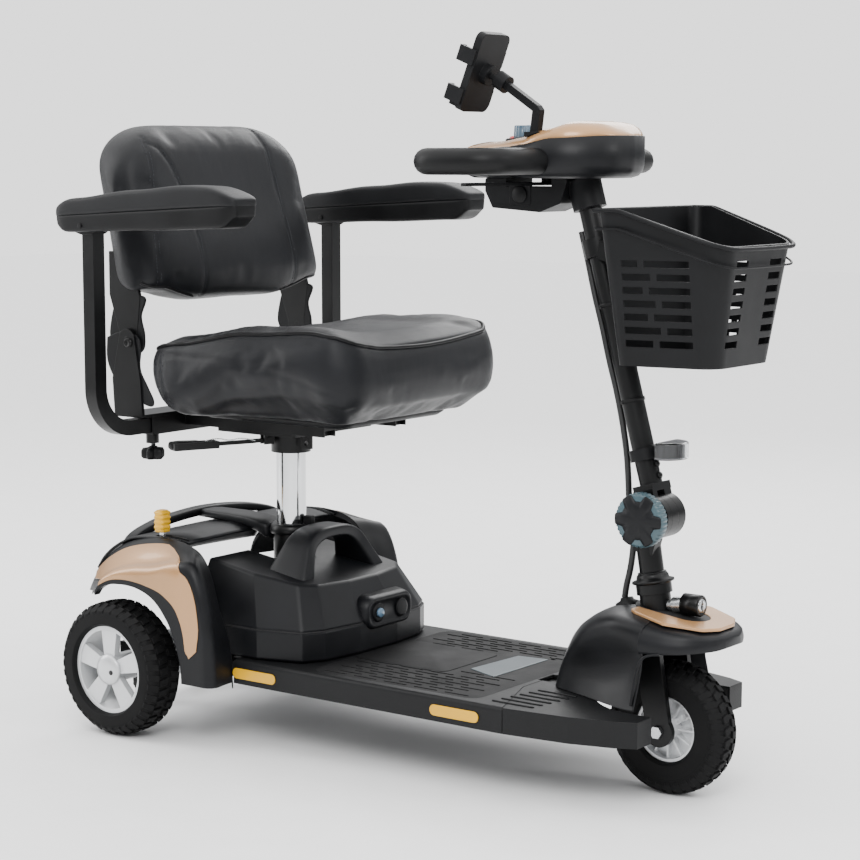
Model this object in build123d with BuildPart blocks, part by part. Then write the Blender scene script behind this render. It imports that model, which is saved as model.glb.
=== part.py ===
"""Three-wheeled travel mobility scooter with a captain's seat, delta handlebar and front basket.

Millimetres. +X points forward, +Y to the rider's left, +Z up. The ground is z = 0 and the origin
is under the middle of the overall box. Stations along the scooter are measured forward from the
rear axle, and side_plane() turns them into model coordinates.
"""
import math
import os

from build123d import *

os.makedirs("parts", exist_ok=True)

# ---------------------------------------------------------------- driving dimensions
rear_axle_x = -460.5
wheelbase = 927.0
rear_tyre_radius = 114.3
rear_tyre_width = 76.0
rear_wheel_y = 252.0
front_tyre_radius = 104.0
front_tyre_width = 60.0
steering_rake = 9.6
tiller_lean = 15.4
deck_half_width = 204.0
deck_bottom = 107.0
deck_top = 147.0
seat_post_station = 166.0
seat_post_diameter = 50.8
seat_half_width = 212.0
armrest_y = 305.0

# fits
running_clearance = 0.05
slide_clearance = 0.3
body_gap = 0.5

front_axle_x = rear_axle_x + wheelbase
post_x = rear_axle_x + seat_post_station


# ---------------------------------------------------------------- helpers
def side_plane(y=0.0, station=0.0, z=0.0):
    """Upright plane along the scooter: local x runs forward from the rear axle, local y up."""
    return Plane(origin=(rear_axle_x + station, y, z), x_dir=(1, 0, 0), z_dir=(0, -1, 0))


def top_plane(z=0.0, station=0.0, y=0.0):
    """Level plane at height z: local x runs forward from the rear axle."""
    return Plane.XY.move(Location((rear_axle_x + station, y, z)))


def leaning_plane(station, z, lean, along=0.0):
    """Plane square to a line that leans rearward by lean degrees, a distance along that line."""
    back = math.sin(math.radians(lean))
    up = math.cos(math.radians(lean))
    origin = (rear_axle_x + station - back * along, 0, z + up * along)
    return Plane(origin=origin, x_dir=(up, 0, back), z_dir=(-back, 0, up))


def stem_plane(along):
    """Plane square to the steering axis, along millimetres up it from the front axle."""
    return leaning_plane(wheelbase, front_tyre_radius, steering_rake, along)


def save(piece, name):
    """Label a finished piece and write its STEP file."""
    piece.part.label = name
    export_step(piece.part, f"parts/{name}.step")


sides = {"left": 1, "right": -1}

# ---------------------------------------------------------------- rear wheels
rear_rim_seat_radius = 74.0
rear_rim_flange_radius = 79.5
rear_rim_inner_radius = 67.0
rear_rim_flange_y = 25.0
rear_rim_flange = 4.0
rear_hub_radius = 24.0
spoke_count = 5
spoke_root_width = 22.0
spoke_rim_width = 36.0
spoke_depth = 12.0
axle_shaft_diameter = 17.0
axle_shaft_inboard = 118.0

for side, sign in sides.items():
    wheel_plane = Plane(origin=(rear_axle_x, sign * rear_wheel_y, rear_tyre_radius),
                        x_dir=(1, 0, 0), z_dir=(0, sign, 0))
    half = rear_tyre_width / 2
    spin_plane = Plane(origin=wheel_plane.origin, x_dir=(0, 0, 1), z_dir=(-1, 0, 0))
    with BuildPart() as rear_tyre:
        with BuildSketch(spin_plane):
            with BuildLine():
                bead = Polyline(
                    (rear_rim_seat_radius, -rear_rim_flange_y + body_gap),
                    (rear_rim_seat_radius, rear_rim_flange_y - body_gap),
                    (rear_rim_flange_radius + body_gap, rear_rim_flange_y - body_gap),
                    (rear_rim_flange_radius + 3, half - 5),
                )
                wall_out = ThreePointArc(bead @ 1, (96, half), (108, half - 6))
                crown = ThreePointArc(wall_out @ 1, (rear_tyre_radius, 0), (108, -half + 6))
                wall_in = ThreePointArc(crown @ 1, (96, -half), (rear_rim_flange_radius + 3, 5 - half))
                Polyline(wall_in @ 1,
                         (rear_rim_flange_radius + body_gap, -rear_rim_flange_y + body_gap), bead @ 0)
            make_face()
        revolve(axis=Axis(wheel_plane.origin, (0, 1, 0)))
    save(rear_tyre, f"rear_tyre_{side}")

    with BuildPart() as rear_rim:
        with BuildSketch(wheel_plane.offset(-rear_rim_flange_y - rear_rim_flange)):
            Circle(rear_rim_seat_radius)
            Circle(rear_rim_inner_radius, mode=Mode.SUBTRACT)
        extrude(amount=2 * (rear_rim_flange_y + rear_rim_flange))
        for edge in (-rear_rim_flange_y - rear_rim_flange, rear_rim_flange_y):
            with BuildSketch(wheel_plane.offset(edge)):
                Circle(rear_rim_flange_radius)
                Circle(rear_rim_inner_radius, mode=Mode.SUBTRACT)
            extrude(amount=rear_rim_flange)
        with BuildSketch(wheel_plane.offset(-rear_rim_flange_y)):
            Circle(rear_hub_radius)
        extrude(amount=2 * rear_rim_flange_y + rear_rim_flange)
        with BuildSketch(wheel_plane.offset(rear_rim_flange_y - spoke_depth + 2)):
            for spoke in range(spoke_count):
                with Locations(Rotation(0, 0, 90 + spoke * 360 / spoke_count)):
                    Polygon(
                        (rear_hub_radius - 6, spoke_root_width / 2), (rear_hub_radius - 6, -spoke_root_width / 2),
                        (rear_rim_inner_radius + 3, -spoke_rim_width / 2),
                        (rear_rim_inner_radius + 3, spoke_rim_width / 2), align=None)
        extrude(amount=spoke_depth)
        with BuildSketch(wheel_plane.offset(-rear_rim_flange_y - rear_rim_flange)):
            Circle(axle_shaft_diameter / 2)
        extrude(amount=2 * rear_rim_flange_y + rear_rim_flange, mode=Mode.SUBTRACT)
    save(rear_rim, f"rear_rim_{side}")

    shaft_length = rear_wheel_y - axle_shaft_inboard + rear_rim_flange_y
    with BuildPart() as rear_shaft:
        with BuildSketch(wheel_plane.offset(rear_rim_flange_y)):
            Circle(axle_shaft_diameter / 2)
        extrude(amount=-shaft_length)
    save(rear_shaft, f"rear_axle_shaft_{side}")

# ---------------------------------------------------------------- transaxle and motor
transaxle_front = 62.0
transaxle_rear = -48.0
transaxle_bottom = 76.0
transaxle_top = 150.0
axle_tube_radius = 20.0
axle_tube_end = 200.0
motor_radius = 42.0
motor_front = 158.0
motor_y = -62.0
motor_z = 96.0

with BuildPart() as transaxle:
    with BuildSketch(side_plane(40)):
        Polygon((transaxle_rear, transaxle_bottom), (transaxle_front, transaxle_bottom),
                (transaxle_front, transaxle_top), (transaxle_rear + 20, transaxle_top),
                (transaxle_rear, transaxle_top - 24), align=None)
    extrude(amount=150)
    fillet(transaxle.edges().filter_by(Axis.Y), 9)
    with BuildSketch(side_plane(axle_tube_end, 0, rear_tyre_radius)):
        Circle(axle_tube_radius)
    extrude(amount=2 * axle_tube_end)
    with BuildSketch(side_plane(axle_tube_end, 0, rear_tyre_radius)):
        Circle(axle_shaft_diameter / 2 + running_clearance)
    extrude(amount=2 * axle_tube_end, mode=Mode.SUBTRACT)
save(transaxle, "transaxle")

with BuildPart() as drive_motor:
    motor_plane = Plane(origin=(rear_axle_x + transaxle_front, motor_y, motor_z + 22),
                        x_dir=(0, 1, 0), z_dir=(1, 0, 0))
    with BuildSketch(motor_plane):
        Circle(motor_radius - 14)
    extrude(amount=motor_front - transaxle_front - 22)
    fillet(drive_motor.edges().sort_by(Axis.X)[-1], 6)
save(drive_motor, "drive_motor")

# ---------------------------------------------------------------- rear frame and seat post
frame_tube = 25.0
frame_rail_y = 182.0
frame_rail_z = 128.0
rear_frame_rear = -58.0
rear_frame_front = 330.0
anti_tip_station = -118.0
anti_tip_z = 38.0
anti_tip_y = 70.0
anti_tip_radius = 26.0
anti_tip_width = 20.0
anti_tip_pin = 8.0
anti_tip_arm = 6.0
socket_outer_radius = 31.0
socket_bottom = 112.0
socket_top = 332.0
post_top = 500.0

with BuildPart() as rear_frame:
    for sign in sides.values():
        with BuildSketch(side_plane(sign * frame_rail_y + frame_tube / 2)):
            with Locations(((rear_frame_front + rear_frame_rear) / 2, frame_rail_z)):
                Rectangle(rear_frame_front - rear_frame_rear, frame_tube)
        extrude(amount=frame_tube)
    for station in (seat_post_station, rear_frame_front - frame_tube / 2):
        with BuildSketch(side_plane(frame_rail_y)):
            with Locations((station, frame_rail_z)):
                Rectangle(frame_tube, frame_tube)
        extrude(amount=2 * frame_rail_y)
    with BuildSketch(top_plane(socket_bottom, seat_post_station)):
        Circle(socket_outer_radius)
    extrude(amount=socket_top - socket_bottom)
    with BuildSketch(top_plane(socket_bottom + 6, seat_post_station)):
        Circle(seat_post_diameter / 2)
    extrude(amount=socket_top - socket_bottom, mode=Mode.SUBTRACT)
    with BuildSketch(side_plane(axle_tube_end, 0, rear_tyre_radius)):
        Circle(axle_tube_radius)
    extrude(amount=2 * axle_tube_end, mode=Mode.SUBTRACT)
    for sign in sides.values():
        arm_y = sign * (anti_tip_y + anti_tip_width / 2 + anti_tip_arm / 2 + 2)
        with BuildSketch(side_plane(arm_y + anti_tip_arm / 2)):
            with BuildLine():
                Polyline((transaxle_rear, 92), (anti_tip_station - 8, anti_tip_z - 8),
                         (anti_tip_station - 10, anti_tip_z + 10), (transaxle_rear, 124), close=True)
            make_face()
        extrude(amount=anti_tip_arm)
    with BuildSketch(side_plane(frame_rail_y)):
        with Locations((transaxle_rear - 5, 118)):
            Rectangle(10, 44)
    extrude(amount=2 * frame_rail_y)
    with BuildSketch(side_plane(anti_tip_y + 30, anti_tip_station, anti_tip_z)):
        Circle(anti_tip_pin / 2)
    extrude(amount=2 * anti_tip_y + 60)
save(rear_frame, "rear_frame")

with BuildPart() as seat_post:
    with BuildSketch(top_plane(socket_bottom + 6, seat_post_station)):
        Circle(seat_post_diameter / 2)
    extrude(amount=post_top - socket_bottom - 6)
    chamfer(seat_post.edges().group_by(Axis.Z)[-1], 1.5)
save(seat_post, "seat_post")

with BuildPart() as anti_tip_wheels:
    for sign in sides.values():
        with BuildSketch(side_plane(sign * anti_tip_y + anti_tip_width / 2, anti_tip_station, anti_tip_z)):
            Circle(anti_tip_radius)
            Circle(anti_tip_pin / 2 + running_clearance, mode=Mode.SUBTRACT)
        extrude(amount=anti_tip_width)
    fillet(anti_tip_wheels.edges().filter_by(GeomType.CIRCLE).group_by(SortBy.RADIUS)[-1], 4)
save(anti_tip_wheels, "anti_tip_wheels")

# ---------------------------------------------------------------- deck
skin = 3.0
deck_rear = 212.0
deck_break_edge = 752.0
deck_break_middle = 702.0
deck_gap = 1.0
deck_edge_round = 7.0
wing_tip_station = 960.0
wing_outer_y = 158.0
wheel_well_radius = 118.0
mat_recess = 2.5
neck_half_width = 20.0
neck_slot_station = 768.0
neck_slot_length = 150.0
mat_front = 690.0
mat_rear = 362.0
mat_half_width = 186.0


def deck_outline(inset):
    """Plan of the main deck, open at the rear, its front edge running forward to the sides."""
    edge = deck_half_width - inset
    return [(deck_rear - inset, -edge), (deck_break_edge - deck_gap - inset, -edge),
            (deck_break_middle - deck_gap - inset, -75), (deck_break_middle - deck_gap - inset, 75),
            (deck_break_edge - deck_gap - inset, edge), (deck_rear - inset, edge)]


def front_deck_outline(inset):
    """Plan of the front deck, tapering to a wing each side of the front wheel."""
    edge = deck_half_width - inset
    tip = wing_tip_station - inset
    half = [(deck_break_middle + inset, 75), (deck_break_edge + inset, edge), (860, 191 - inset),
            (930, 172 - inset), (tip, wing_outer_y - inset), (tip, 126 + inset)]
    return half + [(station, -y) for station, y in reversed(half)]


with BuildPart() as deck_pan:
    with BuildSketch(top_plane(deck_bottom)):
        Polygon(*deck_outline(0), align=None)
    extrude(amount=deck_top - deck_bottom)
    fillet(deck_pan.edges().group_by(Axis.Z)[-1].filter_by(Axis.X), deck_edge_round)
    with BuildSketch(top_plane(deck_bottom)):
        Polygon(*deck_outline(skin), align=None)
    extrude(amount=deck_top - deck_bottom - skin - mat_recess, mode=Mode.SUBTRACT)
    with BuildSketch(top_plane(deck_top)):
        with Locations(((mat_front + mat_rear) / 2, 0)):
            RectangleRounded(mat_front - mat_rear, 2 * mat_half_width, 24)
    extrude(amount=-mat_recess, mode=Mode.SUBTRACT)
    with BuildSketch(side_plane(neck_half_width + 2)):
        with Locations((neck_slot_station, frame_rail_z)):
            Rectangle(neck_slot_length, 60)
    extrude(amount=2 * neck_half_width + 4, mode=Mode.SUBTRACT)
save(deck_pan, "deck_pan")

with BuildPart() as front_deck:
    with BuildSketch(top_plane(deck_bottom)):
        Polygon(*front_deck_outline(0), align=None)
    extrude(amount=deck_top - deck_bottom)
    with BuildSketch(top_plane(deck_bottom)):
        Polygon(*front_deck_outline(skin), align=None)
    extrude(amount=deck_top - deck_bottom - skin, mode=Mode.SUBTRACT)
    with BuildSketch(top_plane(deck_bottom - 1)):
        with Locations((wheelbase, 0)):
            Circle(wheel_well_radius)
        with Locations((wheelbase + wheel_well_radius / 2, 0)):
            Rectangle(wheel_well_radius, 2 * wheel_well_radius)
    extrude(amount=deck_top - deck_bottom + 2, mode=Mode.SUBTRACT)
    with BuildSketch(side_plane(neck_half_width + 2)):
        with Locations((neck_slot_station, frame_rail_z)):
            Rectangle(neck_slot_length, 60)
    extrude(amount=2 * neck_half_width + 4, mode=Mode.SUBTRACT)
save(front_deck, "front_deck")

with BuildPart() as deck_mat:
    with BuildSketch(top_plane(deck_top - mat_recess)):
        with Locations(((mat_front + mat_rear) / 2, 0)):
            RectangleRounded(mat_front - mat_rear, 2 * mat_half_width, 24)
    extrude(amount=mat_recess)
save(deck_mat, "deck_mat")

# ---------------------------------------------------------------- front frame and steering head
front_rail_y = 120.0
front_rail_end = 690.0
head_bottom = 148.0
head_top = 206.0
head_outer_radius = 24.0
head_inner_radius = 18.0
stem_radius = 12.7
cup_radius = 27.5
cup_height = 10.0
top_cup_height = 20.0

with BuildPart() as front_frame:
    for sign in sides.values():
        with BuildSketch(side_plane(sign * front_rail_y + frame_tube / 2)):
            with Locations(((rear_frame_front + front_rail_end) / 2 + body_gap, frame_rail_z)):
                Rectangle(front_rail_end - rear_frame_front - 2 * body_gap, frame_tube)
        extrude(amount=frame_tube)
    with BuildSketch(side_plane(front_rail_y)):
        with Locations((front_rail_end - frame_tube / 2, frame_rail_z)):
            Rectangle(frame_tube, frame_tube)
    extrude(amount=2 * front_rail_y)
    with BuildSketch(side_plane(neck_half_width)):
        with BuildLine():
            Polyline((front_rail_end - 20, frame_rail_z - 12), (778, frame_rail_z - 12), (806, 175), (838, 222),
                     (890, 246), (886, 272), (824, 252), (788, 220), (762, 158), (752, frame_rail_z + 12),
                     (front_rail_end - 20, frame_rail_z + 12), close=True)
        make_face()
    extrude(amount=2 * neck_half_width)
    with BuildSketch(stem_plane(head_bottom)):
        Circle(head_outer_radius)
    extrude(amount=head_top - head_bottom)
    with BuildSketch(stem_plane(head_bottom - 30)):
        Circle(head_inner_radius)
    extrude(amount=head_top - head_bottom + 60, mode=Mode.SUBTRACT)
    with BuildSketch(stem_plane(head_bottom - 30)):
        Circle(cup_radius + 1)
    extrude(amount=30, mode=Mode.SUBTRACT)
save(front_frame, "front_frame")

with BuildPart() as head_bearings:
    for start, height, radius in ((head_bottom - cup_height, cup_height, cup_radius),
                                  (head_top, top_cup_height, cup_radius)):
        with BuildSketch(stem_plane(start)):
            Circle(radius)
            Circle(stem_radius + running_clearance, mode=Mode.SUBTRACT)
        extrude(amount=height)
    fillet(head_bearings.edges().group_by(Axis.Z)[-1].sort_by(SortBy.LENGTH)[-1], 5)
save(head_bearings, "head_bearings")

# ---------------------------------------------------------------- steering lock on the head tube
lock_height = 186.0
lock_radius = 12.5
lock_front = 78.0
lock_axis = Plane(origin=stem_plane(lock_height).origin, x_dir=(0, 1, 0), z_dir=stem_plane(0).x_dir)

with BuildPart() as steering_lock:
    with BuildSketch(lock_axis.offset(head_outer_radius - 4)):
        Circle(lock_radius - 4)
    extrude(amount=14)
    with BuildSketch(lock_axis.offset(head_outer_radius + 8)):
        Circle(lock_radius)
    extrude(amount=lock_front - head_outer_radius - 8)
    with BuildSketch(stem_plane(head_bottom)):
        Circle(head_outer_radius)
    extrude(amount=head_top - head_bottom, mode=Mode.SUBTRACT)
save(steering_lock, "steering_lock")

# ---------------------------------------------------------------- front shroud
shroud_wall = 3.0
shroud_sections = (
    # station, (y, z) of the foot, flank, ridge and crown of one half
    (742, ((40, 147.5), (38, 160), (34, 176), (16, 188))),
    (770, ((50, 147.5), (48, 172), (48, 212), (26, 238))),
    (812, ((64, 147.5), (60, 184), (66, 238), (40, 270))),
    (862, ((86, 147.5), (76, 196), (80, 262), (52, 286))),
    (926, ((117, 147.5), (100, 210), (91, 262), (74, 276))),
)
visor_sections = (
    (926, ((97, 236), (96, 248), (91, 262), (74, 276))),
    (960, ((92, 238), (91, 246), (87, 257), (80, 271))),
    (1010, ((62, 240), (62, 247), (58, 256), (50, 263))),
    (1030, ((34, 242), (34, 247), (31, 252), (26, 257))),
)
insert_slope = 7.6
insert_thickness = 2.5
recess_station = 925.0
recess_length = 122.0
recess_width = 66.0


def shroud_loft(sections, inset):
    """Solid through upright sections, each shrunk by inset and mirrored about the middle."""
    with BuildPart(mode=Mode.PRIVATE) as form:
        for index, (station, half) in enumerate(sections):
            grow = 0
            if inset and index in (0, len(sections) - 1):
                grow = inset if index == 0 else 0
            points = [(y - inset, z - (inset if z > 150 and place > 1 else 0))
                      for place, (y, z) in enumerate(half)]
            ring = points + [(-y, z) for y, z in reversed(points)]
            with BuildSketch(Plane(origin=(rear_axle_x + station + grow, 0, 0),
                                   x_dir=(0, 1, 0), z_dir=(1, 0, 0))):
                Polygon(*ring, align=None)
        loft(ruled=True)
    return form.part


def recess_outline():
    """Oval opening in the shroud's top that the steering head stands in."""
    return SlotOverall(recess_length, recess_width)


with BuildPart() as front_shroud:
    add(shroud_loft(shroud_sections, 0))
    add(shroud_loft(shroud_sections, shroud_wall), mode=Mode.SUBTRACT)
    add(shroud_loft(visor_sections, 0))
    add(shroud_loft(visor_sections[:-1], shroud_wall), mode=Mode.SUBTRACT)
    with BuildSketch(side_plane(60)):
        Polygon((926 - 1, 150), (926 + 40, 150), (926 + 40, 236.5), (925, 236.5), align=None)
    extrude(amount=120, mode=Mode.SUBTRACT)
    with BuildSketch(side_plane(90)):
        Polygon((924, 148), (1020, 148), (996, 250), (924, 258), align=None)
    extrude(amount=180, mode=Mode.SUBTRACT)
    with BuildSketch(top_plane(240, recess_station)):
        recess_outline()
    extrude(amount=60, mode=Mode.SUBTRACT)
save(front_shroud, "front_shroud")

insert_plane = Plane(origin=(rear_axle_x + 881, 0, 284.5),
                     x_dir=(math.cos(math.radians(insert_slope)), 0, -math.sin(math.radians(insert_slope))),
                     z_dir=(math.sin(math.radians(insert_slope)), 0, math.cos(math.radians(insert_slope))))
with BuildPart() as shroud_insert:
    with BuildSketch(insert_plane):
        Polygon((0, -48), (8, -56), (70, -76), (128, -50), (136, -24), (136, 24), (128, 50), (70, 76),
                (8, 56), (0, 48), align=None)
    extrude(amount=insert_thickness)
    with BuildSketch(top_plane(240, recess_station)):
        recess_outline()
    extrude(amount=60, mode=Mode.SUBTRACT)
    add(front_shroud.part, mode=Mode.SUBTRACT)

# ---------------------------------------------------------------- front fork and wheel
fork_gap = 34.0
fork_blade = 10.0
fork_width = 42.0
fork_top = 132.0
fork_crown = 16.0
fork_foot_radius = 24.0
stem_top = 250.0
front_bolt_radius = 6.0
front_rim_seat_radius = 52.0
front_rim_flange_radius = 57.0
front_rim_inner_radius = 47.0
front_rim_flange_y = 17.0
front_rim_flange = 3.0
front_hub_radius = 19.0
front_hub_half = 32.0
web_thickness = 8.0
rib_count = 12
rib_thickness = 3.0

with BuildPart() as front_fork:
    for sign in sides.values():
        blade_plane = Plane(origin=stem_plane(0).origin + Vector(0, sign * (fork_gap + fork_blade / 2), 0),
                            x_dir=stem_plane(0).x_dir, z_dir=(0, -1, 0))
        with BuildSketch(blade_plane):
            with Locations((0, fork_top / 2)):
                Rectangle(fork_width, fork_top)
            Circle(fork_foot_radius)
        extrude(amount=fork_blade / 2, both=True)
    with BuildSketch(stem_plane(fork_top - fork_crown)):
        Rectangle(fork_width, 2 * (fork_gap + fork_blade))
    extrude(amount=fork_crown)
    fillet(front_fork.edges().group_by(Axis.Z)[-1].filter_by(Axis.X, reverse=True), 3)
    with BuildSketch(stem_plane(fork_top)):
        Circle(stem_radius)
    extrude(amount=stem_top - fork_top)
    with BuildSketch(side_plane(fork_gap + fork_blade, wheelbase, front_tyre_radius)):
        Circle(front_bolt_radius)
    extrude(amount=2 * (fork_gap + fork_blade), mode=Mode.SUBTRACT)
save(front_fork, "front_fork")

with BuildPart() as front_axle_bolt:
    with BuildSketch(side_plane(fork_gap + fork_blade + 7, wheelbase, front_tyre_radius)):
        Circle(front_bolt_radius)
    extrude(amount=2 * (fork_gap + fork_blade + 7))
    for sign in sides.values():
        with BuildSketch(side_plane(sign * (fork_gap + fork_blade + 3.5) + 3.5, wheelbase, front_tyre_radius)):
            RegularPolygon(10, 6)
        extrude(amount=7)
save(front_axle_bolt, "front_axle_bolt")

front_centre = Vector(front_axle_x, 0, front_tyre_radius)
front_spin = Plane(origin=front_centre, x_dir=(0, 0, 1), z_dir=(-1, 0, 0))
front_half = front_tyre_width / 2
with BuildPart() as front_tyre:
    with BuildSketch(front_spin):
        with BuildLine():
            front_bead = Polyline(
                (front_rim_seat_radius, -front_rim_flange_y + body_gap),
                (front_rim_seat_radius, front_rim_flange_y - body_gap),
                (front_rim_flange_radius + body_gap, front_rim_flange_y - body_gap),
                (front_rim_flange_radius + 3, front_half - 8))
            front_wall = ThreePointArc(front_bead @ 1, (80, front_half), (96, front_half - 9))
            front_crown = ThreePointArc(front_wall @ 1, (front_tyre_radius, 0), (96, 9 - front_half))
            front_other = ThreePointArc(front_crown @ 1, (80, -front_half),
                                        (front_rim_flange_radius + 3, 8 - front_half))
            Polyline(front_other @ 1, (front_rim_flange_radius + body_gap, -front_rim_flange_y + body_gap),
                     front_bead @ 0)
        make_face()
    revolve(axis=Axis(front_centre, (0, 1, 0)))
save(front_tyre, "front_tyre")

front_wheel_plane = Plane(origin=front_centre, x_dir=(1, 0, 0), z_dir=(0, -1, 0))
with BuildPart() as front_rim:
    with BuildSketch(front_wheel_plane):
        Circle(front_rim_seat_radius)
        Circle(front_rim_inner_radius, mode=Mode.SUBTRACT)
    extrude(amount=front_rim_flange_y, both=True)
    for edge in (-front_rim_flange_y - front_rim_flange, front_rim_flange_y):
        with BuildSketch(front_wheel_plane.offset(edge)):
            Circle(front_rim_flange_radius)
            Circle(front_rim_inner_radius, mode=Mode.SUBTRACT)
        extrude(amount=front_rim_flange)
    with BuildSketch(front_wheel_plane):
        Circle(front_rim_inner_radius + 2)
    extrude(amount=web_thickness / 2, both=True)
    with BuildSketch(front_wheel_plane):
        Circle(front_hub_radius)
    extrude(amount=front_hub_half, both=True)
    with BuildSketch(front_wheel_plane):
        for rib in range(rib_count):
            with Locations(Rotation(0, 0, rib * 360 / rib_count)):
                with Locations(((front_hub_radius + front_rim_inner_radius) / 2, 0)):
                    Rectangle(front_rim_inner_radius - front_hub_radius + 3, rib_thickness)
    extrude(amount=front_rim_flange_y - 3, both=True)
    with BuildSketch(front_wheel_plane):
        Circle(front_bolt_radius + running_clearance)
    extrude(amount=front_hub_half, both=True, mode=Mode.SUBTRACT)
save(front_rim, "front_rim")

# ---------------------------------------------------------------- tiller hinge, tube and fold knob
pivot_station = 897.0
pivot_z = 427.0
hinge_disc_radius = 34.0
hinge_disc_gap = 0.4
hinge_base_y = -16.0
hinge_disc_width = 20.0
hinge_stud_radius = 6.0
lower_tube_radius = 19.0
lower_tube_length = 59.0
tiller_radius = 17.5
tiller_bore = 15.0
tiller_end = 522.0
knob_radius = 42.0
knob_depth = 22.0
knob_standoff = 10.0
knob_serrations = 30

tiller_foot = leaning_plane(pivot_station, pivot_z, tiller_lean)
with BuildPart() as tiller_hinge_base:
    with BuildSketch(stem_plane(head_top + top_cup_height + 1)):
        Circle(lower_tube_radius + 3)
    extrude(amount=12)
    with BuildSketch(stem_plane(head_top + top_cup_height + 1)):
        Circle(lower_tube_radius)
    extrude(amount=lower_tube_length)
    with BuildSketch(side_plane(hinge_base_y + hinge_disc_width, pivot_station, pivot_z)):
        Circle(hinge_disc_radius)
    extrude(amount=hinge_disc_width)
    with BuildSketch(side_plane(hinge_base_y + hinge_disc_width)):
        Polygon((pivot_station - 4, pivot_z - 30), (pivot_station - 33, pivot_z - 6),
                (862, 372), (896, 368), (903, 392), align=None)
    extrude(amount=hinge_disc_width)
    with BuildSketch(side_plane(60, pivot_station, pivot_z)):
        Circle(hinge_stud_radius + running_clearance)
    extrude(amount=120, mode=Mode.SUBTRACT)
    with BuildSketch(stem_plane(fork_top)):
        Circle(stem_radius)
    extrude(amount=stem_top - fork_top, mode=Mode.SUBTRACT)
save(tiller_hinge_base, "tiller_hinge_base")

tiller_disc_y = hinge_base_y + hinge_disc_width + hinge_disc_gap
with BuildPart() as tiller_tube:
    with BuildSketch(side_plane(tiller_disc_y + hinge_disc_width, pivot_station, pivot_z)):
        Circle(hinge_disc_radius)
    extrude(amount=hinge_disc_width)
    with BuildSketch(side_plane(hinge_base_y - hinge_disc_gap, pivot_station, pivot_z)):
        Circle(hinge_disc_radius)
    extrude(amount=12)
    with BuildSketch(tiller_foot.offset(hinge_disc_radius + 4)):
        Rectangle(2 * tiller_radius, hinge_disc_width * 2 + 12 + 2 * hinge_disc_gap)
    extrude(amount=12)
    for low, wide in ((tiller_disc_y + hinge_disc_width, hinge_disc_width),
                      (hinge_base_y - hinge_disc_gap, 12)):
        with BuildSketch(Plane(origin=tiller_foot.origin + Vector(0, low, 0), x_dir=tiller_foot.x_dir,
                               z_dir=(0, -1, 0))):
            with Locations((0, (hinge_disc_radius + 8) / 2 + 10)):
                Rectangle(2 * tiller_radius, hinge_disc_radius - 10)
        extrude(amount=wide)
    with BuildSketch(tiller_foot.offset(hinge_disc_radius + 10)):
        Circle(tiller_radius)
    extrude(amount=tiller_end - hinge_disc_radius - 10)
    with BuildSketch(tiller_foot.offset(hinge_disc_radius + 24)):
        Circle(tiller_bore)
    extrude(amount=tiller_end, mode=Mode.SUBTRACT)
    with BuildSketch(side_plane(60, pivot_station, pivot_z)):
        Circle(hinge_stud_radius + running_clearance)
    extrude(amount=120, mode=Mode.SUBTRACT)
save(tiller_tube, "tiller_tube")

knob_face_y = hinge_base_y - hinge_disc_gap - 12 - knob_standoff
with BuildPart() as fold_knob:
    with BuildSketch(side_plane(knob_face_y, pivot_station, pivot_z)):
        Circle(knob_radius)
        with PolarLocations(knob_radius + 1, knob_serrations):
            Circle(2, mode=Mode.SUBTRACT)
    extrude(amount=knob_depth)
    with BuildSketch(side_plane(knob_face_y + knob_standoff - 0.5, pivot_station, pivot_z)):
        Circle(18)
    extrude(amount=knob_standoff)
    with BuildSketch(side_plane(tiller_disc_y + hinge_disc_width + 4, pivot_station, pivot_z)):
        Circle(hinge_stud_radius)
    extrude(amount=tiller_disc_y + hinge_disc_width + 4 - knob_face_y)
save(fold_knob, "fold_knob")

# ---------------------------------------------------------------- headlamp
lamp_along = 96.0
lamp_ring_radius = 23.0
lamp_ring_height = 18.0
lamp_arm_reach = 44.0
lamp_half_width = 34.0
lamp_depth = 34.0
lamp_height = 26.0
lens_thickness = 5.0
lamp_plane = tiller_foot.offset(lamp_along)
lamp_level = Plane(origin=lamp_plane.origin + Vector(0, 0, 10), x_dir=(1, 0, 0), z_dir=(0, 0, 1))


def lamp_outline(radius):
    """Half-oval plan of the lamp, its flat back towards the tiller."""
    with BuildSketch(mode=Mode.PRIVATE) as outline:
        Ellipse(lamp_depth + radius, lamp_half_width + radius)
        with Locations((-lamp_depth, 0)):
            Rectangle(2 * lamp_depth, 4 * lamp_half_width, mode=Mode.SUBTRACT)
    return outline.sketch


with BuildPart() as headlamp_body:
    with BuildSketch(lamp_plane):
        Circle(lamp_ring_radius)
    extrude(amount=lamp_ring_height / 2, both=True)
    with BuildSketch(lamp_level):
        with Locations((lamp_arm_reach / 2 + 6, 0)):
            Rectangle(lamp_arm_reach - 12, 14)
    extrude(amount=6, both=True)
    with BuildSketch(lamp_level):
        with Locations((lamp_arm_reach - 6, 0)):
            add(lamp_outline(-lens_thickness))
    extrude(amount=lamp_height / 2 - 3, both=True)
    with BuildSketch(tiller_foot):
        Circle(tiller_radius)
    extrude(amount=tiller_end, mode=Mode.SUBTRACT)
save(headlamp_body, "headlamp_body")

with BuildPart() as headlamp_lens:
    with BuildSketch(lamp_level):
        with Locations((lamp_arm_reach - 6, 0)):
            add(lamp_outline(0))
    extrude(amount=lamp_height / 2, both=True)
    fillet(headlamp_lens.edges().filter_by(GeomType.ELLIPSE), 3)
    with BuildSketch(lamp_level):
        with Locations((lamp_arm_reach - 6, 0)):
            add(lamp_outline(-lens_thickness))
    extrude(amount=lamp_height / 2 - 3, both=True, mode=Mode.SUBTRACT)
save(headlamp_lens, "headlamp_lens")

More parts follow.
